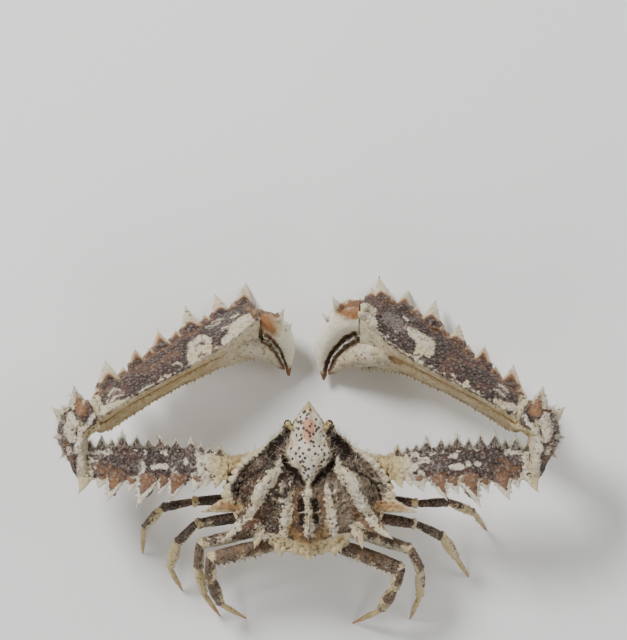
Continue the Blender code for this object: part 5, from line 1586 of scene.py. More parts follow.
def shifted(point, distance):
    return (point[0] + distance, *point[1:])


def behind_edge(plan, edge, count):
    """How far each plan point lies behind an edge, with the edge as count points."""
    line = smooth_line(edge, count)
    line = line[np.argsort(line[:, 0])]
    return plan[:, 1] - np.interp(plan[:, 0], line[:, 0], line[:, 1])


def granulate(skin, allowed, spacing, radius, height, seed):
    """Covers the allowed part of a skin with beads."""
    centres = skin.points[scattered(skin.points, allowed, spacing, seed)]
    standing = beads(skin.points, centres, radius, seed)
    skin.fields["granule"] = np.maximum(skin.fields["granule"], standing)
    skin.lift(height * standing)


def paint_underside(skin, start=-0.25, warm=0.8):
    """Turns what faces down cream, as on the crab's underside."""
    down = -skin.normals[:, 2]
    skin.add("pale", (down + start) * 2.5)
    skin.add("warm", np.clip(down + start + 0.3, 0, 1) * warm)


# %% The base of the claw
def claw_base(side, mirrored):
    body = tube(CLAW_BASE_LINE, CLAW_BASE_SIZES, CLAW_BASE_SIZES, 28, None, (1, 0, 0), 40)
    body = trimmed(body, shifted(SHOULDER_PLANE, -GAP / 2), (1, 0, 0))
    collar = knob((12.6, 2.1, 16.4), (1.5, 2.2, 2.0))
    made = Skin(f"claw_base_{side}", [body, collar], 0.13)
    made.lift(0.10 * grain(made.points, 2.2, 21) - 0.3 * hump(made.points[:, 0] - 10.6, 0.3))
    made.add("pale", 1.0)
    made.fields["warm"] = np.clip(0.9 + 0.3 * grain(made.points, 2.0, 22), 0, 1)
    made.add("ochre", 0.4 * grain(made.points, 1.6, 23) - 0.1)
    made.cut("pale", 0.3 * grain(made.points, 1.6, 23) - 0.25)
    made.finish(CLAW, [f"claw_{side}_ischium"], mirrored)


# %% The arm
ARM_EDGE_POINTS = 60


def arm(side, mirrored, rng):
    edges = [MERUS_EDGES[name] for name in ("front", "back", "keel")]
    bar = trimmed(prism(edges, ARM_BULGES), shifted(SHOULDER_PLANE, GAP / 2), (-1, 0, 0))
    bar = trimmed(bar, shifted(ELBOW_PLANE, -GAP / 2), (1, 0, 0))
    front, hind = [], []
    for place, length in MERUS_FRONT_SPINES:
        reach = (0, -length, 0.1 * length)
        front.append(edge_spine(rng, MERUS_EDGES["front"], place, reach, 0.9 + 0.6 * length, 0.8))
    for place, length, _ in MERUS_BACK_SPINES:
        reach = (0.2 * length, length, 0.5 * length)
        lean = 0.14 if length > 2 else 0.05
        width = 1.15 + 0.68 * length
        hind.append(edge_spine(rng, MERUS_EDGES["back"], place, reach, width, lean=lean, hook=-0.08))
    parts = [bar, *(made for made, _ in (*front, *hind))]
    parts += flank_teeth(hind)
    parts.append(joint_skin(shifted(SHOULDER_PLANE, -0.1), (1, 0, 0), 3.6, 3.2))
    parts += [knob((39.6, 3.4, 19.4), (1.3, 1.0, 1.1)), knob((39.8, -0.4, 18.9), (1.1, 1.1, 1.0))]
    skin = Skin(f"arm_{side}", parts, 0.125)
    skin.lift(0.10 * grain(skin.points, 2.0, 31))
    on_spine = spine_fields(skin.points, [marks for _, marks in (*front, *hind)])[2]
    upper = (skin.normals[:, 2] > 0.15) & (on_spine < 0.0)
    granulate(skin, upper, 1.3, 0.42, 0.20, SEED + mirrored)
    granulate(skin, upper, 0.55, 0.24, 0.08, SEED + 5 + mirrored)
    paint_arm(skin, side, mirrored, front, hind)
    in_front = behind_edge(skin.points[:, :2], MERUS_EDGES["front"], ARM_EDGE_POINTS) < 0.9
    allowed = in_front & (skin.normals[:, 2] > -0.3)
    node = f"claw_{side}_merus"
    fringe(skin, f"hairs_arm_{side}", allowed, 620, (0.5, 1.4), (0, -0.9, 0.4), node, mirrored)
    skin.finish(CLAW, [node], mirrored)


def paint_arm(skin, side, mirrored, front, hind):
    plan = wandering(skin.points, 30 + mirrored, 0.2)
    soft = 0.3 * grain(skin.points, 0.8, 34 + mirrored)
    skin.add("pale", strokes(plan, ARM_PALE[side]) + soft)
    skin.add("rust", 0.45 * strokes(plan, ARM_RUST[side]) - 0.1 + 1.8 * soft)
    fleck_map(skin, ARM_FLECKS[side], plan, 0.30)
    near_end = np.clip((plan[:, 0] - 38.6) * 0.5, 0, 0.8)
    skin.fields["warm"] = np.maximum(near_end, np.clip((18.9 - plan[:, 0]) * 0.35, 0, 0.9))
    skin.add("ochre", (16.6 - plan[:, 0]) * 0.25 - 0.35 + 0.5 * grain(skin.points, 1.3, 38))
    skin.add("pale", 0.9 * grain(skin.points, 1.2, 35 + mirrored) + (19.6 - plan[:, 0]) * 0.17)
    skin.add("pale", 0.6 * grain(skin.points, 1.4, 36 + mirrored) + (plan[:, 0] - 38.8) * 0.5)
    beyond = behind_edge(plan, MERUS_EDGES["back"], ARM_EDGE_POINTS)
    skin.add("pale", 0.25 - np.abs(beyond - 0.15) + 0.6 * grain(skin.points, 1.3, 33 + mirrored))
    highs = [high for _, _, high in MERUS_BACK_SPINES]
    white, core, _ = spine_fields(skin.points, [marks for _, marks in hind], highs, 0.8, (-0.06, 0, 0))
    skin.add("pale", CLEAN * white)
    core = np.minimum(core, (plan[:, 0] - 19.0) * 0.5)
    skin.cut("pale", SOFTER * (core - 0.05) + 0.5 * soft)
    skin.add("rust", SOFTER * core + 0.5 * grain(skin.points, 0.8, 37))
    skin.add("blush", 0.4 * core - 0.45 + 1.2 * soft)
    skin.fields["fleck"] = np.maximum(skin.fields["fleck"], 0.45 * (core > -0.1))
    skin.add("pale", (beyond > 0.3) * (18.9 - plan[:, 0]) * 0.4 - (beyond <= 0.3) * 3.0)
    white, core, _ = spine_fields(skin.points, [marks for _, marks in front], 0.72, 0.95)
    skin.add("pale", CLEAN * (white - 0.05))
    skin.cut("pale", CLEAN * (np.minimum(core, (plan[:, 0] - 15.4)) - 0.05))
    paint_underside(skin)


# %% [markdown]
# The elbow block is a lumpy pillow with a white knob on top, a curved white rim where the hand turns, an
# orange front tooth and a ring of white spines outside.

# %% The elbow
ELBOW_PALE = [
    [(42.6, -7.0, 0.7), (42.4, -5.6, 1.0), (42.9, -4.0, 1.0), (42.4, -2.6, 0.6)],
    [(38.6, -6.9, 0.3), (39.3, -5.6, 0.4), (40.7, -4.1, 0.45), (41.4, -2.4, 0.4), (41.6, -0.8, 0.5)],
    [(36.8, -8.8, 0.9), (36.6, -6.4, 0.9), (37.4, -5.0, 0.8), (39.2, -3.6, 0.8)],
    [(40.6, 0.4, 0.8), (40.6, 2.0, 1.0), (40.4, 3.6, 1.2)], [(44.6, -7.4, 0.5), (45.6, -8.2, 0.6)],
    [(44.8, -3.2, 0.4), (45.9, -3.0, 0.5)], [(42.6, -11.8, 0.35), (43.2, -9.8, 0.22)],
    [(39.8, -2.6, 0.9), (40.3, -0.8, 0.9)],
]
ELBOW_HOLES = [
    [(42.9, -6.0, 0.14)], [(42.2, -5.3, 0.14)], [(43.2, -5.0, 0.14)], [(42.5, -4.3, 0.14)],
    [(43.4, -3.8, 0.12)],
    [(42.2, -6.8, 0.12)],
]
ELBOW_VALLEY = [(39.6, -7.6, 0.2), (40.9, -5.6, 0.2), (41.9, -2.4, 0.2)]
ELBOW_RUST = [
    [(42.2, -11.0, 0.8), (41.6, -9.6, 1.1), (40.4, -8.8, 0.9)],
    [(43.9, -3.0, 0.3), (43.2, -0.8, 0.5), (42.6, 1.0, 0.4)],
]


def elbow_top(x, y, share):
    return CARPUS_MIDDLE[2] + CARPUS_HALF_HEIGHT * (1 - 0.62 * share**3.0) + 0.3 * hump(y + 6.0, 3.0)


def elbow_bottom(x, y, share):
    return CARPUS_MIDDLE[2] - CARPUS_HALF_HEIGHT * (1 - 0.62 * share**3.0) + 0 * x


def elbow(side, mirrored):
    outline = smooth_line([*CARPUS_OUTLINE, CARPUS_OUTLINE[0]], 121)[:-1]
    block = pillow(outline, CARPUS_MIDDLE[:2], elbow_top, elbow_bottom, 24)
    block = trimmed(block, np.array(WRIST_PLANE) - np.array(WRIST_FACING) * GAP / 2, WRIST_FACING)
    parts = [block, *(spine(*part, (0.5, 1, 0), sink=0.9) for part in CARPUS_SPINES)]
    parts.append(joint_skin(ELBOW_PLANE, (1, 0, 0), 5.4, 4.2))
    skin = Skin(f"elbow_{side}", parts, 0.125)
    plan = skin.points[:, :2]
    upper = np.clip(skin.normals[:, 2] * 2, 0, 1)
    rim = beside_stroke(plan, ELBOW_PALE[1], 0.35)
    valley = beside_stroke(plan, ELBOW_VALLEY, 0.5)
    inner = np.clip(stroke(plan, ELBOW_PALE[2]) * 1.5, 0, 1)
    skin.lift(upper * (0.4 * rim - 0.35 * valley - 0.5 * inner) + 0.14 * grain(skin.points, 1.8, 41))
    white, core, on_spine = spine_fields(skin.points, [part[:3] for part in CARPUS_SPINES[1:]])
    granulate(skin, (skin.normals[:, 2] > -0.3) & (on_spine < 0.0), 0.8, 0.32, 0.13, SEED + 11 + mirrored)
    plan = wandering(skin.points, 44 + mirrored, 0.14)
    skin.add("pale", strokes(plan, ELBOW_PALE) + 0.15 * grain(skin.points, 0.8, 46))
    skin.cut("pale", strokes(plan, ELBOW_HOLES))
    skin.add("pale", white)
    skin.add("rust", np.maximum(strokes(plan, ELBOW_RUST), core - 0.2))
    tooth = spine_fields(skin.points, [CARPUS_SPINES[0][:3]], 0.78, 0.8, (-0.1, 0, 0))
    skin.add("pale", tooth[0])
    skin.cut("pale", np.maximum(tooth[1], np.minimum(stroke(plan, ELBOW_RUST[0]) - 0.1, -tooth[2] - 0.1)))
    skin.add("blush", np.minimum(np.maximum(tooth[1], stroke(plan, ELBOW_RUST[0]) - 0.7), 0.5) - 0.2)
    inside = np.clip(stroke(plan, ELBOW_PALE[2]) + 0.6, 0, 1)
    skin.fields["warm"] = np.clip(0.25 + 0.4 * grain(skin.points, 1.6, 43) + inside, 0, 0.9)
    skin.fields["fleck"][:] = 0.36
    paint_underside(skin, -0.35)
    outer = (skin.points[:, 0] > 43.0) | ((skin.points[:, 1] < -8.6) & (skin.points[:, 0] > 41.0))
    allowed = outer & (skin.normals[:, 2] > -0.6)
    node = f"claw_{side}_carpus"
    fringe(skin, f"hairs_elbow_{side}", allowed, 420, (0.4, 1.2), (0.6, -0.2, 0.1), node, mirrored)
    skin.finish(CLAW, [node], mirrored)


# %% [markdown]
# The hand widens towards its fingers. Its outer edge carries the great spines, its crest a row of beads
# and small spines, and its inner edge a saw of fine teeth. The fixed finger grows from it.

# %% The hand
HAND_BULGES = (0.8, 0.5, 0.5)
HAND_EDGE_POINTS = 90
CREST_BEADS = 34
GAPE_SHARES = (0.10, 0.20, 0.30, 0.42, 0.52, 0.62, 0.72, 0.82, 0.92, 0.98)
FIRST_GAPE_TOOTH = 2
LIP_RADIUS = 0.8
LIP_CLEARANCE = 0.14
# Size of a large and a small tooth of the gape, and how far each reaches past its middle
GAPE_TOOTH_SIZES = (0.62, 0.44)
TOOTH_REACH = (0.08, -0.22)
LIP_PAINT = {"left": 0.24, "right": 0.45}


def gape_teeth(line, widths, other, other_widths, first):
    """Blunt teeth and a low lip on the side of a finger that faces the other finger, with their places.

    Large and small teeth take turns. first is 0 on one finger and 1 on the other, so that a large tooth
    of one always stands against a small one of the other.
    """
    parts, places, lip, sizes = [], [], [], []
    for k, share in enumerate(GAPE_SHARES):
        point, facing = on_line(line, share)[0], on_line(other, share)[0]
        across = unit(facing - point)
        width = size_at(share, widths)
        gap = np.linalg.norm(facing - point) - (width + size_at(share, other_widths)) / 2
        radius = LIP_RADIUS * (1.1 - 0.85 * share)
        reach = np.clip(gap / 2 - LIP_CLEARANCE, 0, 0.9 * LIP_RADIUS) - radius
        centre = point + across * (width / 2 + reach)
        lip.append(centre - (0, 0, 0.5 * (1.1 - share)))
        sizes.append(2 * radius)
        if FIRST_GAPE_TOOTH <= k < len(GAPE_SHARES) - 1:
            turn = (k + first) % 2
            size = GAPE_TOOTH_SIZES[turn] * (1.25 - share * 0.7)
            stand = np.clip(gap / 2 + TOOTH_REACH[turn] - size, -0.3, 0.7)
            tooth = point + across * (width / 2 + stand)
            parts.append(knob(tooth, (size, size, size * 1.3)))
            places.append((*tooth[:2], size))
    parts.append(tube(lip, sizes, sizes, 12, stations=30))
    return parts, (places, lip)


def finger_lines(sizes):
    """The middle line and the widths of the fixed and of the moving finger."""
    return [(sizes[name], sizes[f"{name}_widths"]) for name in ("pollex", "dactyl")]


def hand(side, mirrored, rng):
    sizes = HANDS[side]
    edges = [sizes["outer"], sizes["crest"], sizes["inner"]]
    plane, facing = np.array(sizes["finger_plane"]), np.array(sizes["finger_facing"])
    bar = trimmed(prism(edges, HAND_BULGES, 90, 12), plane - facing * GAP / 2, facing)
    wrist = np.array(WRIST_PLANE) + np.array(WRIST_FACING) * GAP / 2
    bar = trimmed(bar, wrist, -np.array(WRIST_FACING))
    great, crest, inner = [], [], []
    for place, forwards, drop, _ in sizes["spines"]:
        lean = -0.19 if forwards > 2 else -0.06
        lean = 0.14 if forwards > 4 and place > 0.9 else lean
        reach = (0, -forwards, -drop)
        width = 0.95 + 0.76 * forwards
        great.append(edge_spine(rng, sizes["outer"], place, reach, width, 0.48, lean=lean, hook=0.03))
    for place, length in PALM_CREST_SPINES:
        reach = (-0.1 * length, -0.2 * length, length)
        crest.append(edge_spine(rng, sizes["crest"], place, reach, 0.7 + 0.5 * length))
    tooth = np.array((0.15, 1, -0.1)) * PALM_INNER_TOOTH
    for k in range(PALM_INNER_TEETH):
        place = (k + 0.6) / PALM_INNER_TEETH
        inner.append(edge_spine(rng, sizes["inner"], place, tooth * (1.25 if k % 2 else 0.8), 0.85, 0.8))
    parts = [bar, *(made for made, _ in (*great, *crest, *inner))]
    parts += flank_teeth(great)
    for k in range(CREST_BEADS):
        centre = on_line(sizes["crest"], (k + 0.5) / CREST_BEADS)[0]
        parts.append(knob(centre + (rng.uniform(-0.1, 0.1), rng.uniform(-0.2, 0.2), 0.1), (0.3, 0.3, 0.34)))
    parts.append(tube(sizes["pollex"], sizes["pollex_widths"], sizes["pollex_heights"], 28, stations=40))
    parts.append(joint_skin(np.array(WRIST_PLANE) + (0, 0, 0.1), WRIST_FACING, 6.0, 5.4, 1.5))
    parts.append(knob((37.4, -4.9, 14.6), (1.3, 1.2, 1.6)))
    parts.append(knob(plane + (0.8, -1.2, 3.2), (0.7, 0.9, 0.9)))
    fixed, moving = finger_lines(sizes)
    teeth, gape = gape_teeth(*fixed, *moving, 0)
    skin = Skin(f"hand_{side}", parts + teeth, 0.149)
    paint_hand(skin, side, mirrored, great, gape)
    skin.finish(CLAW, [f"claw_{side}_palm"], mirrored)


# %% Relief and paint of the hand
TIP_REACH = 2.3


def paint_tip(skin, tip, wander):
    """The brown end of a finger, through orange into the cream."""
    near = TIP_REACH - np.linalg.norm(skin.points - tip, axis=1) + 0.6 * wander
    skin.add("blush", 0.55 * near)
    skin.add("rust", 0.8 * near - 0.3)
    skin.cut("pale", 0.8 * near - 0.3)


def paint_gape(skin, gape, half_width):
    """A brown lip with darker teeth on the side of a finger that faces the other finger."""
    plan = skin.points[:, :2]
    teeth, lip = gape
    lip_line = [(*point[:2], half_width) for point in lip[2:]]
    inside = stroke(plan, lip_line) + 0.2 * grain(skin.points, 0.9, 57)
    skin.cut("pale", inside)
    skin.cut("blush", inside)
    skin.add("rust", 0.15 - np.abs(inside - 0.1))
    skin.add("dark", strokes(plan, [[(x, y, size * 0.8)] for x, y, size in teeth]) - 0.25)


def paint_hand(skin, side, mirrored, great, gape):
    sizes = HANDS[side]
    skin.lift(0.10 * grain(skin.points, 2.2, 51 + mirrored))
    plan = skin.points[:, :2]
    behind_crest = behind_edge(plan, sizes["crest"], HAND_EDGE_POINTS)
    spines = [marks for _, marks in great]
    highs = [high for *_, high in sizes["spines"]]
    white, core, on_spine = spine_fields(skin.points, spines, highs, 0.78, (-0.06, -0.04, 0))
    outer_face = (behind_crest < 0.1) & (skin.normals[:, 2] > -0.25) & (plan[:, 0] > 9.5) & (on_spine < 0.0)
    granulate(skin, outer_face, 0.5, 0.22, 0.09, SEED + 21 + mirrored)
    granulate(skin, outer_face, 1.4, 0.38, 0.18, SEED + 25 + mirrored)
    skin.stay_above_floor()
    plan = wandering(skin.points, 50 + mirrored, 0.16)
    behind_crest = behind_edge(plan, sizes["crest"], HAND_EDGE_POINTS)
    before_inner = -behind_edge(skin.points[:, :2], sizes["inner"], HAND_EDGE_POINTS)
    inside_outer = behind_edge(plan, sizes["outer"], HAND_EDGE_POINTS)
    strip = np.minimum(behind_crest - 0.35, before_inner + 1.2)
    skin.add("pale", strokes(plan, HAND_PALE[side]) + 0.12 * grain(skin.points, 0.8, 54 + mirrored))
    skin.cut("pale", strokes(plan, HAND_HOLES[side]))
    skin.add("pale", np.minimum(strip, 1.0))
    skin.add("pale", -0.15 - np.abs(behind_crest + 0.2) + 0.8 * grain(skin.points, 1.0, 53 + mirrored))
    skin.add("rust", strokes(plan, HAND_RUST[side]) + 0.6 * grain(skin.points, 0.9, 52))
    skin.add("ochre", strokes(plan, HAND_OCHRE[side]) + 0.4 * grain(skin.points, 0.9, 60))
    skin.cut("pale", np.minimum(strokes(plan, HAND_RUST[side]), 0.3))
    tinge = np.clip((plan[:, 0] - 20.0) * 0.4, -1, 0) - 0.1 + 0.3 - np.abs(inside_outer - 0.5)
    skin.add("rust", tinge + 0.5 * grain(skin.points, 1.0, 56 + mirrored))
    along_strip = np.clip((plan[:, 0] - 12.0) * 0.15, 0, 1)
    skin.fields["warm"] = np.clip(strip * 1.5 + 0.4, 0, 1) * (0.15 + 0.65 * along_strip)
    skin.add("ochre", np.minimum(strip, 0.5) * along_strip - 0.44 + 0.6 * grain(skin.points, 1.0, 59))
    skin.add("warm", np.clip((plan[:, 0] - 36.5) * 0.35, 0, 0.6))
    furrow = behind_crest - 0.5 * (behind_crest + before_inner)
    line = 0.16 - np.abs(furrow + 0.15 * grain(skin.points, 3.0, 55)) + np.minimum(along_strip - 0.6, 0)
    skin.add("ochre", line + 0.25)
    skin.cut("pale", line - 0.05)
    skin.lift(-0.25 * hump(furrow, 0.3) * (strip > 0.2) * along_strip)
    skin.add("pale", CLEAN * white)
    skin.cut("pale", 2 * core)
    skin.cut("rust", core - 0.1)
    skin.add("rust", np.minimum(0.25 - np.abs(core), on_spine + 0.4))
    skin.add("blush", np.minimum(0.16 - np.abs(core + 0.1), on_spine + 0.2))
    skin.add("pale", 0.3 - before_inner)
    fleck_map(skin, HAND_FLECKS[side], plan, 0.14)
    skin.add("pale", (9.0 - plan[:, 0]) * 1.5)
    skin.add("warm", 0.35 + 0.3 * grain(skin.points, 2.0, 58))
    paint_gape(skin, gape, LIP_PAINT[side])
    paint_tip(skin, np.array(sizes["pollex"][-1]), 0.5 * grain(skin.points, 1.6, 64))
    paint_underside(skin, -0.45)


# %% [markdown]
# The moving finger curves over the fixed one. It is orange where it hinges, cream along its length and
# brown at the tip, with a saw edge outside and blunt dark teeth in the gape.

# %% The moving finger
SAW_TEETH = 12
SAW_TOOTH_SIZES = (1.3, 1.05)
# Around the hinge, seen from above: the brown band along the front, and the orange part behind it
FINGER_BROWN = {
    "left": [[(9.0, -25.5, 0.5), (6.8, -25.5, 0.5), (5.5, -25.0, 0.35)],
             [(9.0, -22.6, 0.4), (8.4, -21.8, 0.3)]],
    "right": [[(9.6, -27.2, 0.6), (7.6, -26.9, 0.6), (5.9, -26.4, 0.4)]],
}
FINGER_ORANGE = {
    "left": [[(9.4, -25.0, 1.1), (7.8, -24.0, 1.3), (6.6, -22.4, 0.9)], [(9.0, -22.6, 0.8)]],
    "right": [[(10.2, -25.6, 1.3), (6.4, -25.4, 1.2)]],
}


def moving_finger(side, mirrored):
    sizes = HANDS[side]
    plane, facing = np.array(sizes["finger_plane"]), np.array(sizes["finger_facing"])
    widths, heights = sizes["dactyl_widths"], sizes["dactyl_heights"]
    body = tube(sizes["dactyl"], widths, heights, 30, facing, None, 50)
    body = trimmed(body, plane + facing * GAP / 2, -facing)
    parts = [body, *(spine(*part, (1, 0.2, 0.2), sink=0.9, taper=0.85) for part in sizes["hinge_spines"])]
    parts.append(joint_skin(plane, facing, widths[0] * 0.9, heights[0] * 0.86, 1.4))
    fixed, moving = finger_lines(sizes)
    teeth, gape = gape_teeth(*moving, *fixed, 1)
    for k in range(SAW_TEETH):
        share = 0.26 + 0.6 * k / SAW_TEETH
        point, along = on_line(sizes["dactyl"], share)
        out = unit(point - on_line(sizes["pollex"], share)[0]) * (1, 1, 0)
        width = size_at(share, widths)
        root = point + out * width * 0.44 + (0, 0, width * 0.12)
        size = SAW_TOOTH_SIZES[k % 2] * (1.1 - 0.6 * share)
        end = root + (out - along * 0.4) * 0.78 * size
        parts.append(spine(root, end, 0.9 * size, 0.7, along, 8, 0.25))
    skin = Skin(f"finger_{side}", parts + teeth, 0.11)
    skin.lift(0.05 * grain(skin.points, 1.6, 61))
    skin.stay_above_floor()
    tip = np.array(sizes["dactyl"][-1])
    wander = 0.5 * grain(skin.points, 1.6, 63 + mirrored)
    upper_half = (skin.points[:, 2] - 7.0) * 0.5
    near_root = np.minimum(strokes(skin.points[:, :2], FINGER_ORANGE[side]), upper_half) + 0.9 * wander
    skin.add("pale", 1.5)
    skin.add("blush", 0.32 * near_root + 0.04)
    skin.add("rust", 0.3 * near_root - 0.1)
    skin.cut("pale", 0.25 * near_root - 0.12)
    brown = np.minimum(strokes(skin.points[:, :2], FINGER_BROWN[side]), upper_half) + 0.6 * wander
    skin.cut("blush", 0.9 * brown - 0.1)
    skin.add("rust", brown + 0.1)
    skin.cut("pale", 0.8 * brown)
    paint_tip(skin, tip, wander)
    skin.fields["warm"] = np.clip(0.5 + near_root * 0.16 + 0.3 * wander, 0.1, 0.9)
    paint_gape(skin, gape, LIP_PAINT[side])
    core = spine_fields(skin.points, [part[:3] for part in sizes["hinge_spines"]])[1]
    skin.add("dark", core - 0.1)
    skin.finish(FINGER, [f"claw_{side}_dactylus"], mirrored)


# %% Both claws
for side, mirrored in SIDES:
    rng = random.Random(SEED + mirrored)
    claw_base(side, mirrored)
    arm(side, mirrored, rng)
    elbow(side, mirrored)
    hand(side, mirrored, rng)
    moving_finger(side, mirrored)

# %% [markdown]
# ## Walking legs
# Each leg has four articles that show. They are tubes, a little flattened, with a pale collar and two
# knuckles at the far end. The long first ones are brown and mottled, and the claws at the ends are ochre.

# %% Sizes of the legs
LEG_JOINT_HEIGHTS = {2: (12.8, 11.0, 6.2), 3: (12.6, 10.6, 6.0), 4: (12.7, 10.4, 5.8), 5: (13.6, 11.4, 6.2)}
LEG_SIZE = {2: 0.9, 3: 0.95, 4: 1.0, 5: 1.02}
# How much broader than that each article is, from the merus outwards
LEG_BREADTHS = {2: (1.0, 1.0, 1.0, 1.0), 3: (1.05, 1.0, 1.12, 1.0), 4: (1.12, 1.0, 1.0, 1.0),
                5: (1.36, 1.14, 1.2, 1.0)}
LEG_ARTICLES = {
    "merus": ((1.5, 1.75, 2.0, 2.05, 1.7), (1.7, 2.1, 2.5, 2.4, 1.9)),
    "carpus": ((1.45, 1.65, 1.85, 1.5), (1.6, 1.9, 2.05, 1.7)),
    "propodus": ((1.4, 1.9, 1.75, 1.05), (1.6, 2.0, 1.9, 1.2)),
    "dactylus": ((0.95, 1.05, 0.8, 0.3), (1.1, 1.15, 0.85, 0.3)),
}
LEG_BOW = 0.2
LEG_INNER_END = (-4.2, -0.6, -0.8)
HIND_TEETH = 9
HIND_TOOTH = 1.05
# How pale each article is, from -1 for dark to 1 for cream
LEG_PALENESS = {
    "merus": {2: -0.9, 3: -0.3, 4: 0.12, 5: -0.34},
    "carpus": {2: -0.6, 3: -0.3, 4: -0.1, 5: 0.05},
    "propodus": {2: 0.15, 3: 0.5, 4: 0.5, 5: -0.08},
    "dactylus": {2: 0.8, 3: 0.8, 4: 0.8, 5: 0.8},
}
STREAK = (0.3, 0.55, 0.25, 0.0)
# Number, side and article, with the lengths of the hairs and the shares of the article that carry them
HAIRY_ARTICLES = {
    (2, "right", 3): ((0.25, 0.6), (0.1, 0.9)),
    (2, "right", 2): ((0.25, 0.6), (0.6, 1.0)),
    (5, "left", 0): ((0.4, 1.0), (0.3, 0.5)),
    (5, "right", 0): ((0.4, 1.0), (0.3, 0.5)),
}


def leg_joints(side, number):
    """The points of a leg: inside the thorax, at its wall, at each joint, and on the floor."""
    root, reaches, headings = LEGS[side, number]
    joints = [np.array((*root, LEG_ROOT_HEIGHTS[number]))]
    for reach, heading, height in zip(reaches, headings, (*LEG_JOINT_HEIGHTS[number], FLOOR)):
        turn = math.radians(heading)
        x, y = joints[-1][0] + reach * math.cos(turn), joints[-1][1] + reach * math.sin(turn)
        joints.append(np.array((x, y, height)))
    return joints


# %% Teeth of the last legs
def hind_teeth(joints, size):
    """The row of small teeth on the hind edge, each with its tip."""
    along = unit(joints[1] - joints[0])
    out = unit(np.cross((0, 0, 1), along))
    made = []
    for k in range(HIND_TEETH):
        share = 0.28 + 0.62 * k / (HIND_TEETH - 1)
        reach = HIND_TOOTH if k % 2 else HIND_TOOTH * 0.7
        root = joints[0] + (joints[1] - joints[0]) * share + out * 1.12 * size
        tip = root + out * reach + np.array((0, 0, -0.1))
        made.append((spine(root, tip, 0.62, 0.55, along, 8, sink=0.4, taper=0.5), tip))
        made.append((knob(tip - out * 0.12, (0.22, 0.22, 0.22), rows=8, sides=8), tip))
    return made


# %% One article of a leg
def leg_article(side, mirrored, number, k):
    article = list(LEG_ARTICLES)[k]
    joints = leg_joints(side, number)
    directions = [unit(joints[i + 1] - joints[i]) for i in range(4)]
    turned = [unit(directions[i] + directions[i + 1]) for i in range(3)]
    planes = [None, *turned, np.array((0.0, 0.0, -1.0))]
    start = joints[k] + (planes[k] * GAP / 2 if k else np.array(LEG_INNER_END))
    end = joints[k + 1] - (planes[k + 1] * GAP / 2 if k < 3 else 0)
    widths, heights = (np.array(values) * LEG_SIZE[number] for values in LEG_ARTICLES[article])
    widths = widths * LEG_BREADTHS[number][k]
    line = smooth_line([start, (start + end) / 2 + (0, 0, LEG_BOW), end], len(widths))
    parts = [tube(line, widths, heights, 24, planes[k], planes[k + 1], 40)]
    along = directions[k]
    level = unit(np.cross((0, 0, 1), along))
    if k < 3:
        for way in (-1, 1):
            parts.append(knob(end - along * 0.35 + level * way * widths[-1] * 0.36, (0.46, 0.46, 0.55)))
    if k:
        width, height = widths[0] * 0.85, heights[0] * 0.85
        parts.append(joint_skin(start - planes[k] * 0.15, planes[k], width, height, 0.75))
    teeth = []
    if number == 5 and k == 0:
        teeth = hind_teeth(joints, LEG_SIZE[number])
        parts += [made for made, _ in teeth]
    node = f"leg{number}_{side}_{article}"
    skin = Skin(f"{node}_shell", parts, 0.10)
    share = np.clip((skin.points - start) @ unit(end - start) / np.linalg.norm(end - start), 0, 1)
    across = (skin.points - start) @ level
    skin.lift(0.04 * grain(skin.points, 1.1, 71 + number) - 0.07 * hump(across, 0.16) * (k in (1, 2)))
    if k < 2:
        granulate(skin, skin.normals[:, 2] > -0.2, 0.6, 0.2, 0.06, SEED + number + k)
    skin.stay_above_floor()
    # dark on top and in front, and paler behind and below
    lit = 0.5 * skin.normals[:, 2] - 0.8 * (skin.normals @ level)
    cloud = grain(skin.points, 1.7, 75 + number * 2 + k + mirrored)
    streaks = STREAK[k] * (lit + 0.5 * grain(skin.points, 2.6, 77))
    skin.add("pale", LEG_PALENESS[article][number] + 0.4 * cloud - streaks)
    if k < 3:
        skin.add("pale", np.minimum((share - 0.97) * 12, 0.4) + 0.6 * cloud)
    skin.fields["warm"] = np.clip((0.25, 0.45, 0.8, 1.0)[k] + 0.3 * cloud + 0.4 * (share > 0.93), 0, 1)
    skin.fields["fleck"][:] = 0.46 + 0.12 * (number > 3)
    if number > 3 and k < 3:
        skin.add("rust", 0.7 * cloud - 0.45 + 0.1 * (number == 5))
        skin.add("pale", 0.6 * grain(skin.points, 0.6, 78 + k) - 0.48 - 0.3 * lit)
    if k == 3:
        skin.add("ochre", (share - 0.45) * 2 + 0.4 * cloud)
        skin.add("blush", (share - 0.7) * 2 + 0.3 * cloud)
        skin.cut("pale", (share - 0.93) * 5)
    for tooth in teeth:
        skin.add("pale", 0.55 - np.linalg.norm(skin.points - tooth[1], axis=1))
    paint_underside(skin, -0.5)
    if (number, side, k) in HAIRY_ARTICLES:
        lengths, hairy = HAIRY_ARTICLES[number, side, k]
        allowed = (share > hairy[0]) & (share < hairy[1])
        fringe(skin, f"hairs_{node}", allowed, 160, lengths, (0, 0, 0.1), node, mirrored)
    skin.finish(LEG, [node], mirrored)


for side, mirrored in SIDES:
    for number, k in itertools.product((2, 3, 4, 5), range(4)):
        leg_article(side, mirrored, number, k)
print("dressed pieces:", len(PIECES))

# %% [markdown]
# ## Studio
# The crab stands on a plain pale floor. The photo looks straight down from far away, so the camera does
# the same with a long lens, and keeps the photo's framing: the crab fills the lower part of the picture.

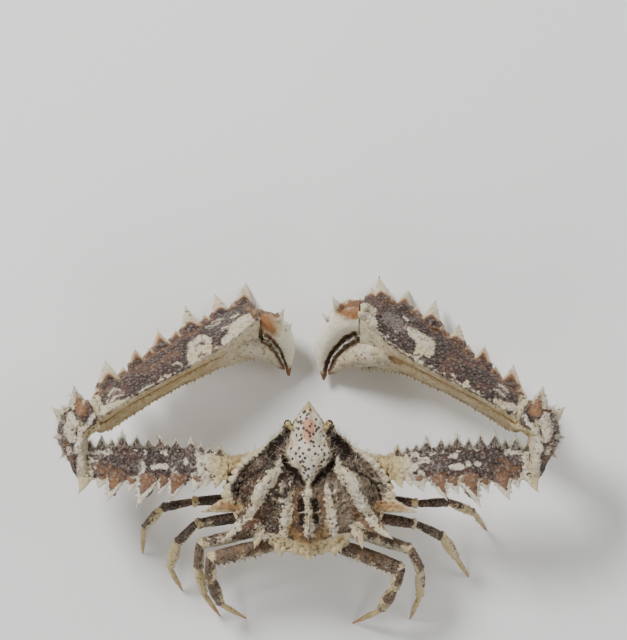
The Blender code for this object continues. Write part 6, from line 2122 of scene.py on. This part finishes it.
# %% Floor
def floor_material():
    made, tree, shader = new_material("pale_floor")
    shade = ramp(tree, noise(tree, 6.0, 2.0), 0.3, 0.7, 0.97, 1.0)
    tree.links.new(blended(tree, "black", shade, "floor"), shader["Base Color"])
    shader["Roughness"].default_value = 0.7
    return made


FLOOR_HALF = 1.5
floor_mesh = bpy.data.meshes.new("floor")
corners = [(x * FLOOR_HALF, y * FLOOR_HALF, 0.0) for x, y in ((-1, -1), (1, -1), (1, 1), (-1, 1))]
floor_mesh.from_pydata(corners, [], [(0, 1, 2, 3)])
floor_mesh.materials.append(floor_material())
floor = linked("floor", floor_mesh)


# %% Soft lights
def soft_light(name, place, size, power):
    lamp = bpy.data.lights.new(name, "AREA")
    lamp.shape = "DISK"
    lamp.size = size
    lamp.energy = power
    made = linked(name, lamp)
    made.location = place
    made.rotation_mode = "QUATERNION"
    made.rotation_quaternion = (-Vector(place)).to_track_quat("-Z", "Y")


soft_light("key", (0.34, -0.42, 0.50), 0.22, 6.0)
soft_light("fill", (-0.55, -0.10, 0.45), 0.45, 1.4)
soft_light("rim", (0.10, 0.60, 0.40), 0.35, 1.4)
world = bpy.data.worlds.new("studio")
world.use_nodes = True
sky = world.node_tree.nodes["Background"].inputs
sky["Color"].default_value = (1.0, 0.99, 0.97, 1.0)
sky["Strength"].default_value = 0.35
bpy.context.scene.world = world

# %% Camera
VIEW_MIDDLE = (-0.9, -24.1)
VIEW_LONG_SIDE = 115.2
FOCUS_HEIGHT = 17.0
CAMERA_HEIGHT = 1280.0
SENSOR = 36.0
lens = bpy.data.cameras.new("camera")
lens.sensor_width = SENSOR
lens.lens = SENSOR * CAMERA_HEIGHT / VIEW_LONG_SIDE
lens.clip_start = 0.01
lens.clip_end = 20.0
camera = linked("camera", lens)
camera.location = Vector((*VIEW_MIDDLE, FOCUS_HEIGHT + CAMERA_HEIGHT)) * MM
camera.rotation_euler = (0.0, 0.0, math.pi)
bpy.context.scene.camera = camera
print("camera lens", round(lens.lens), "mm")
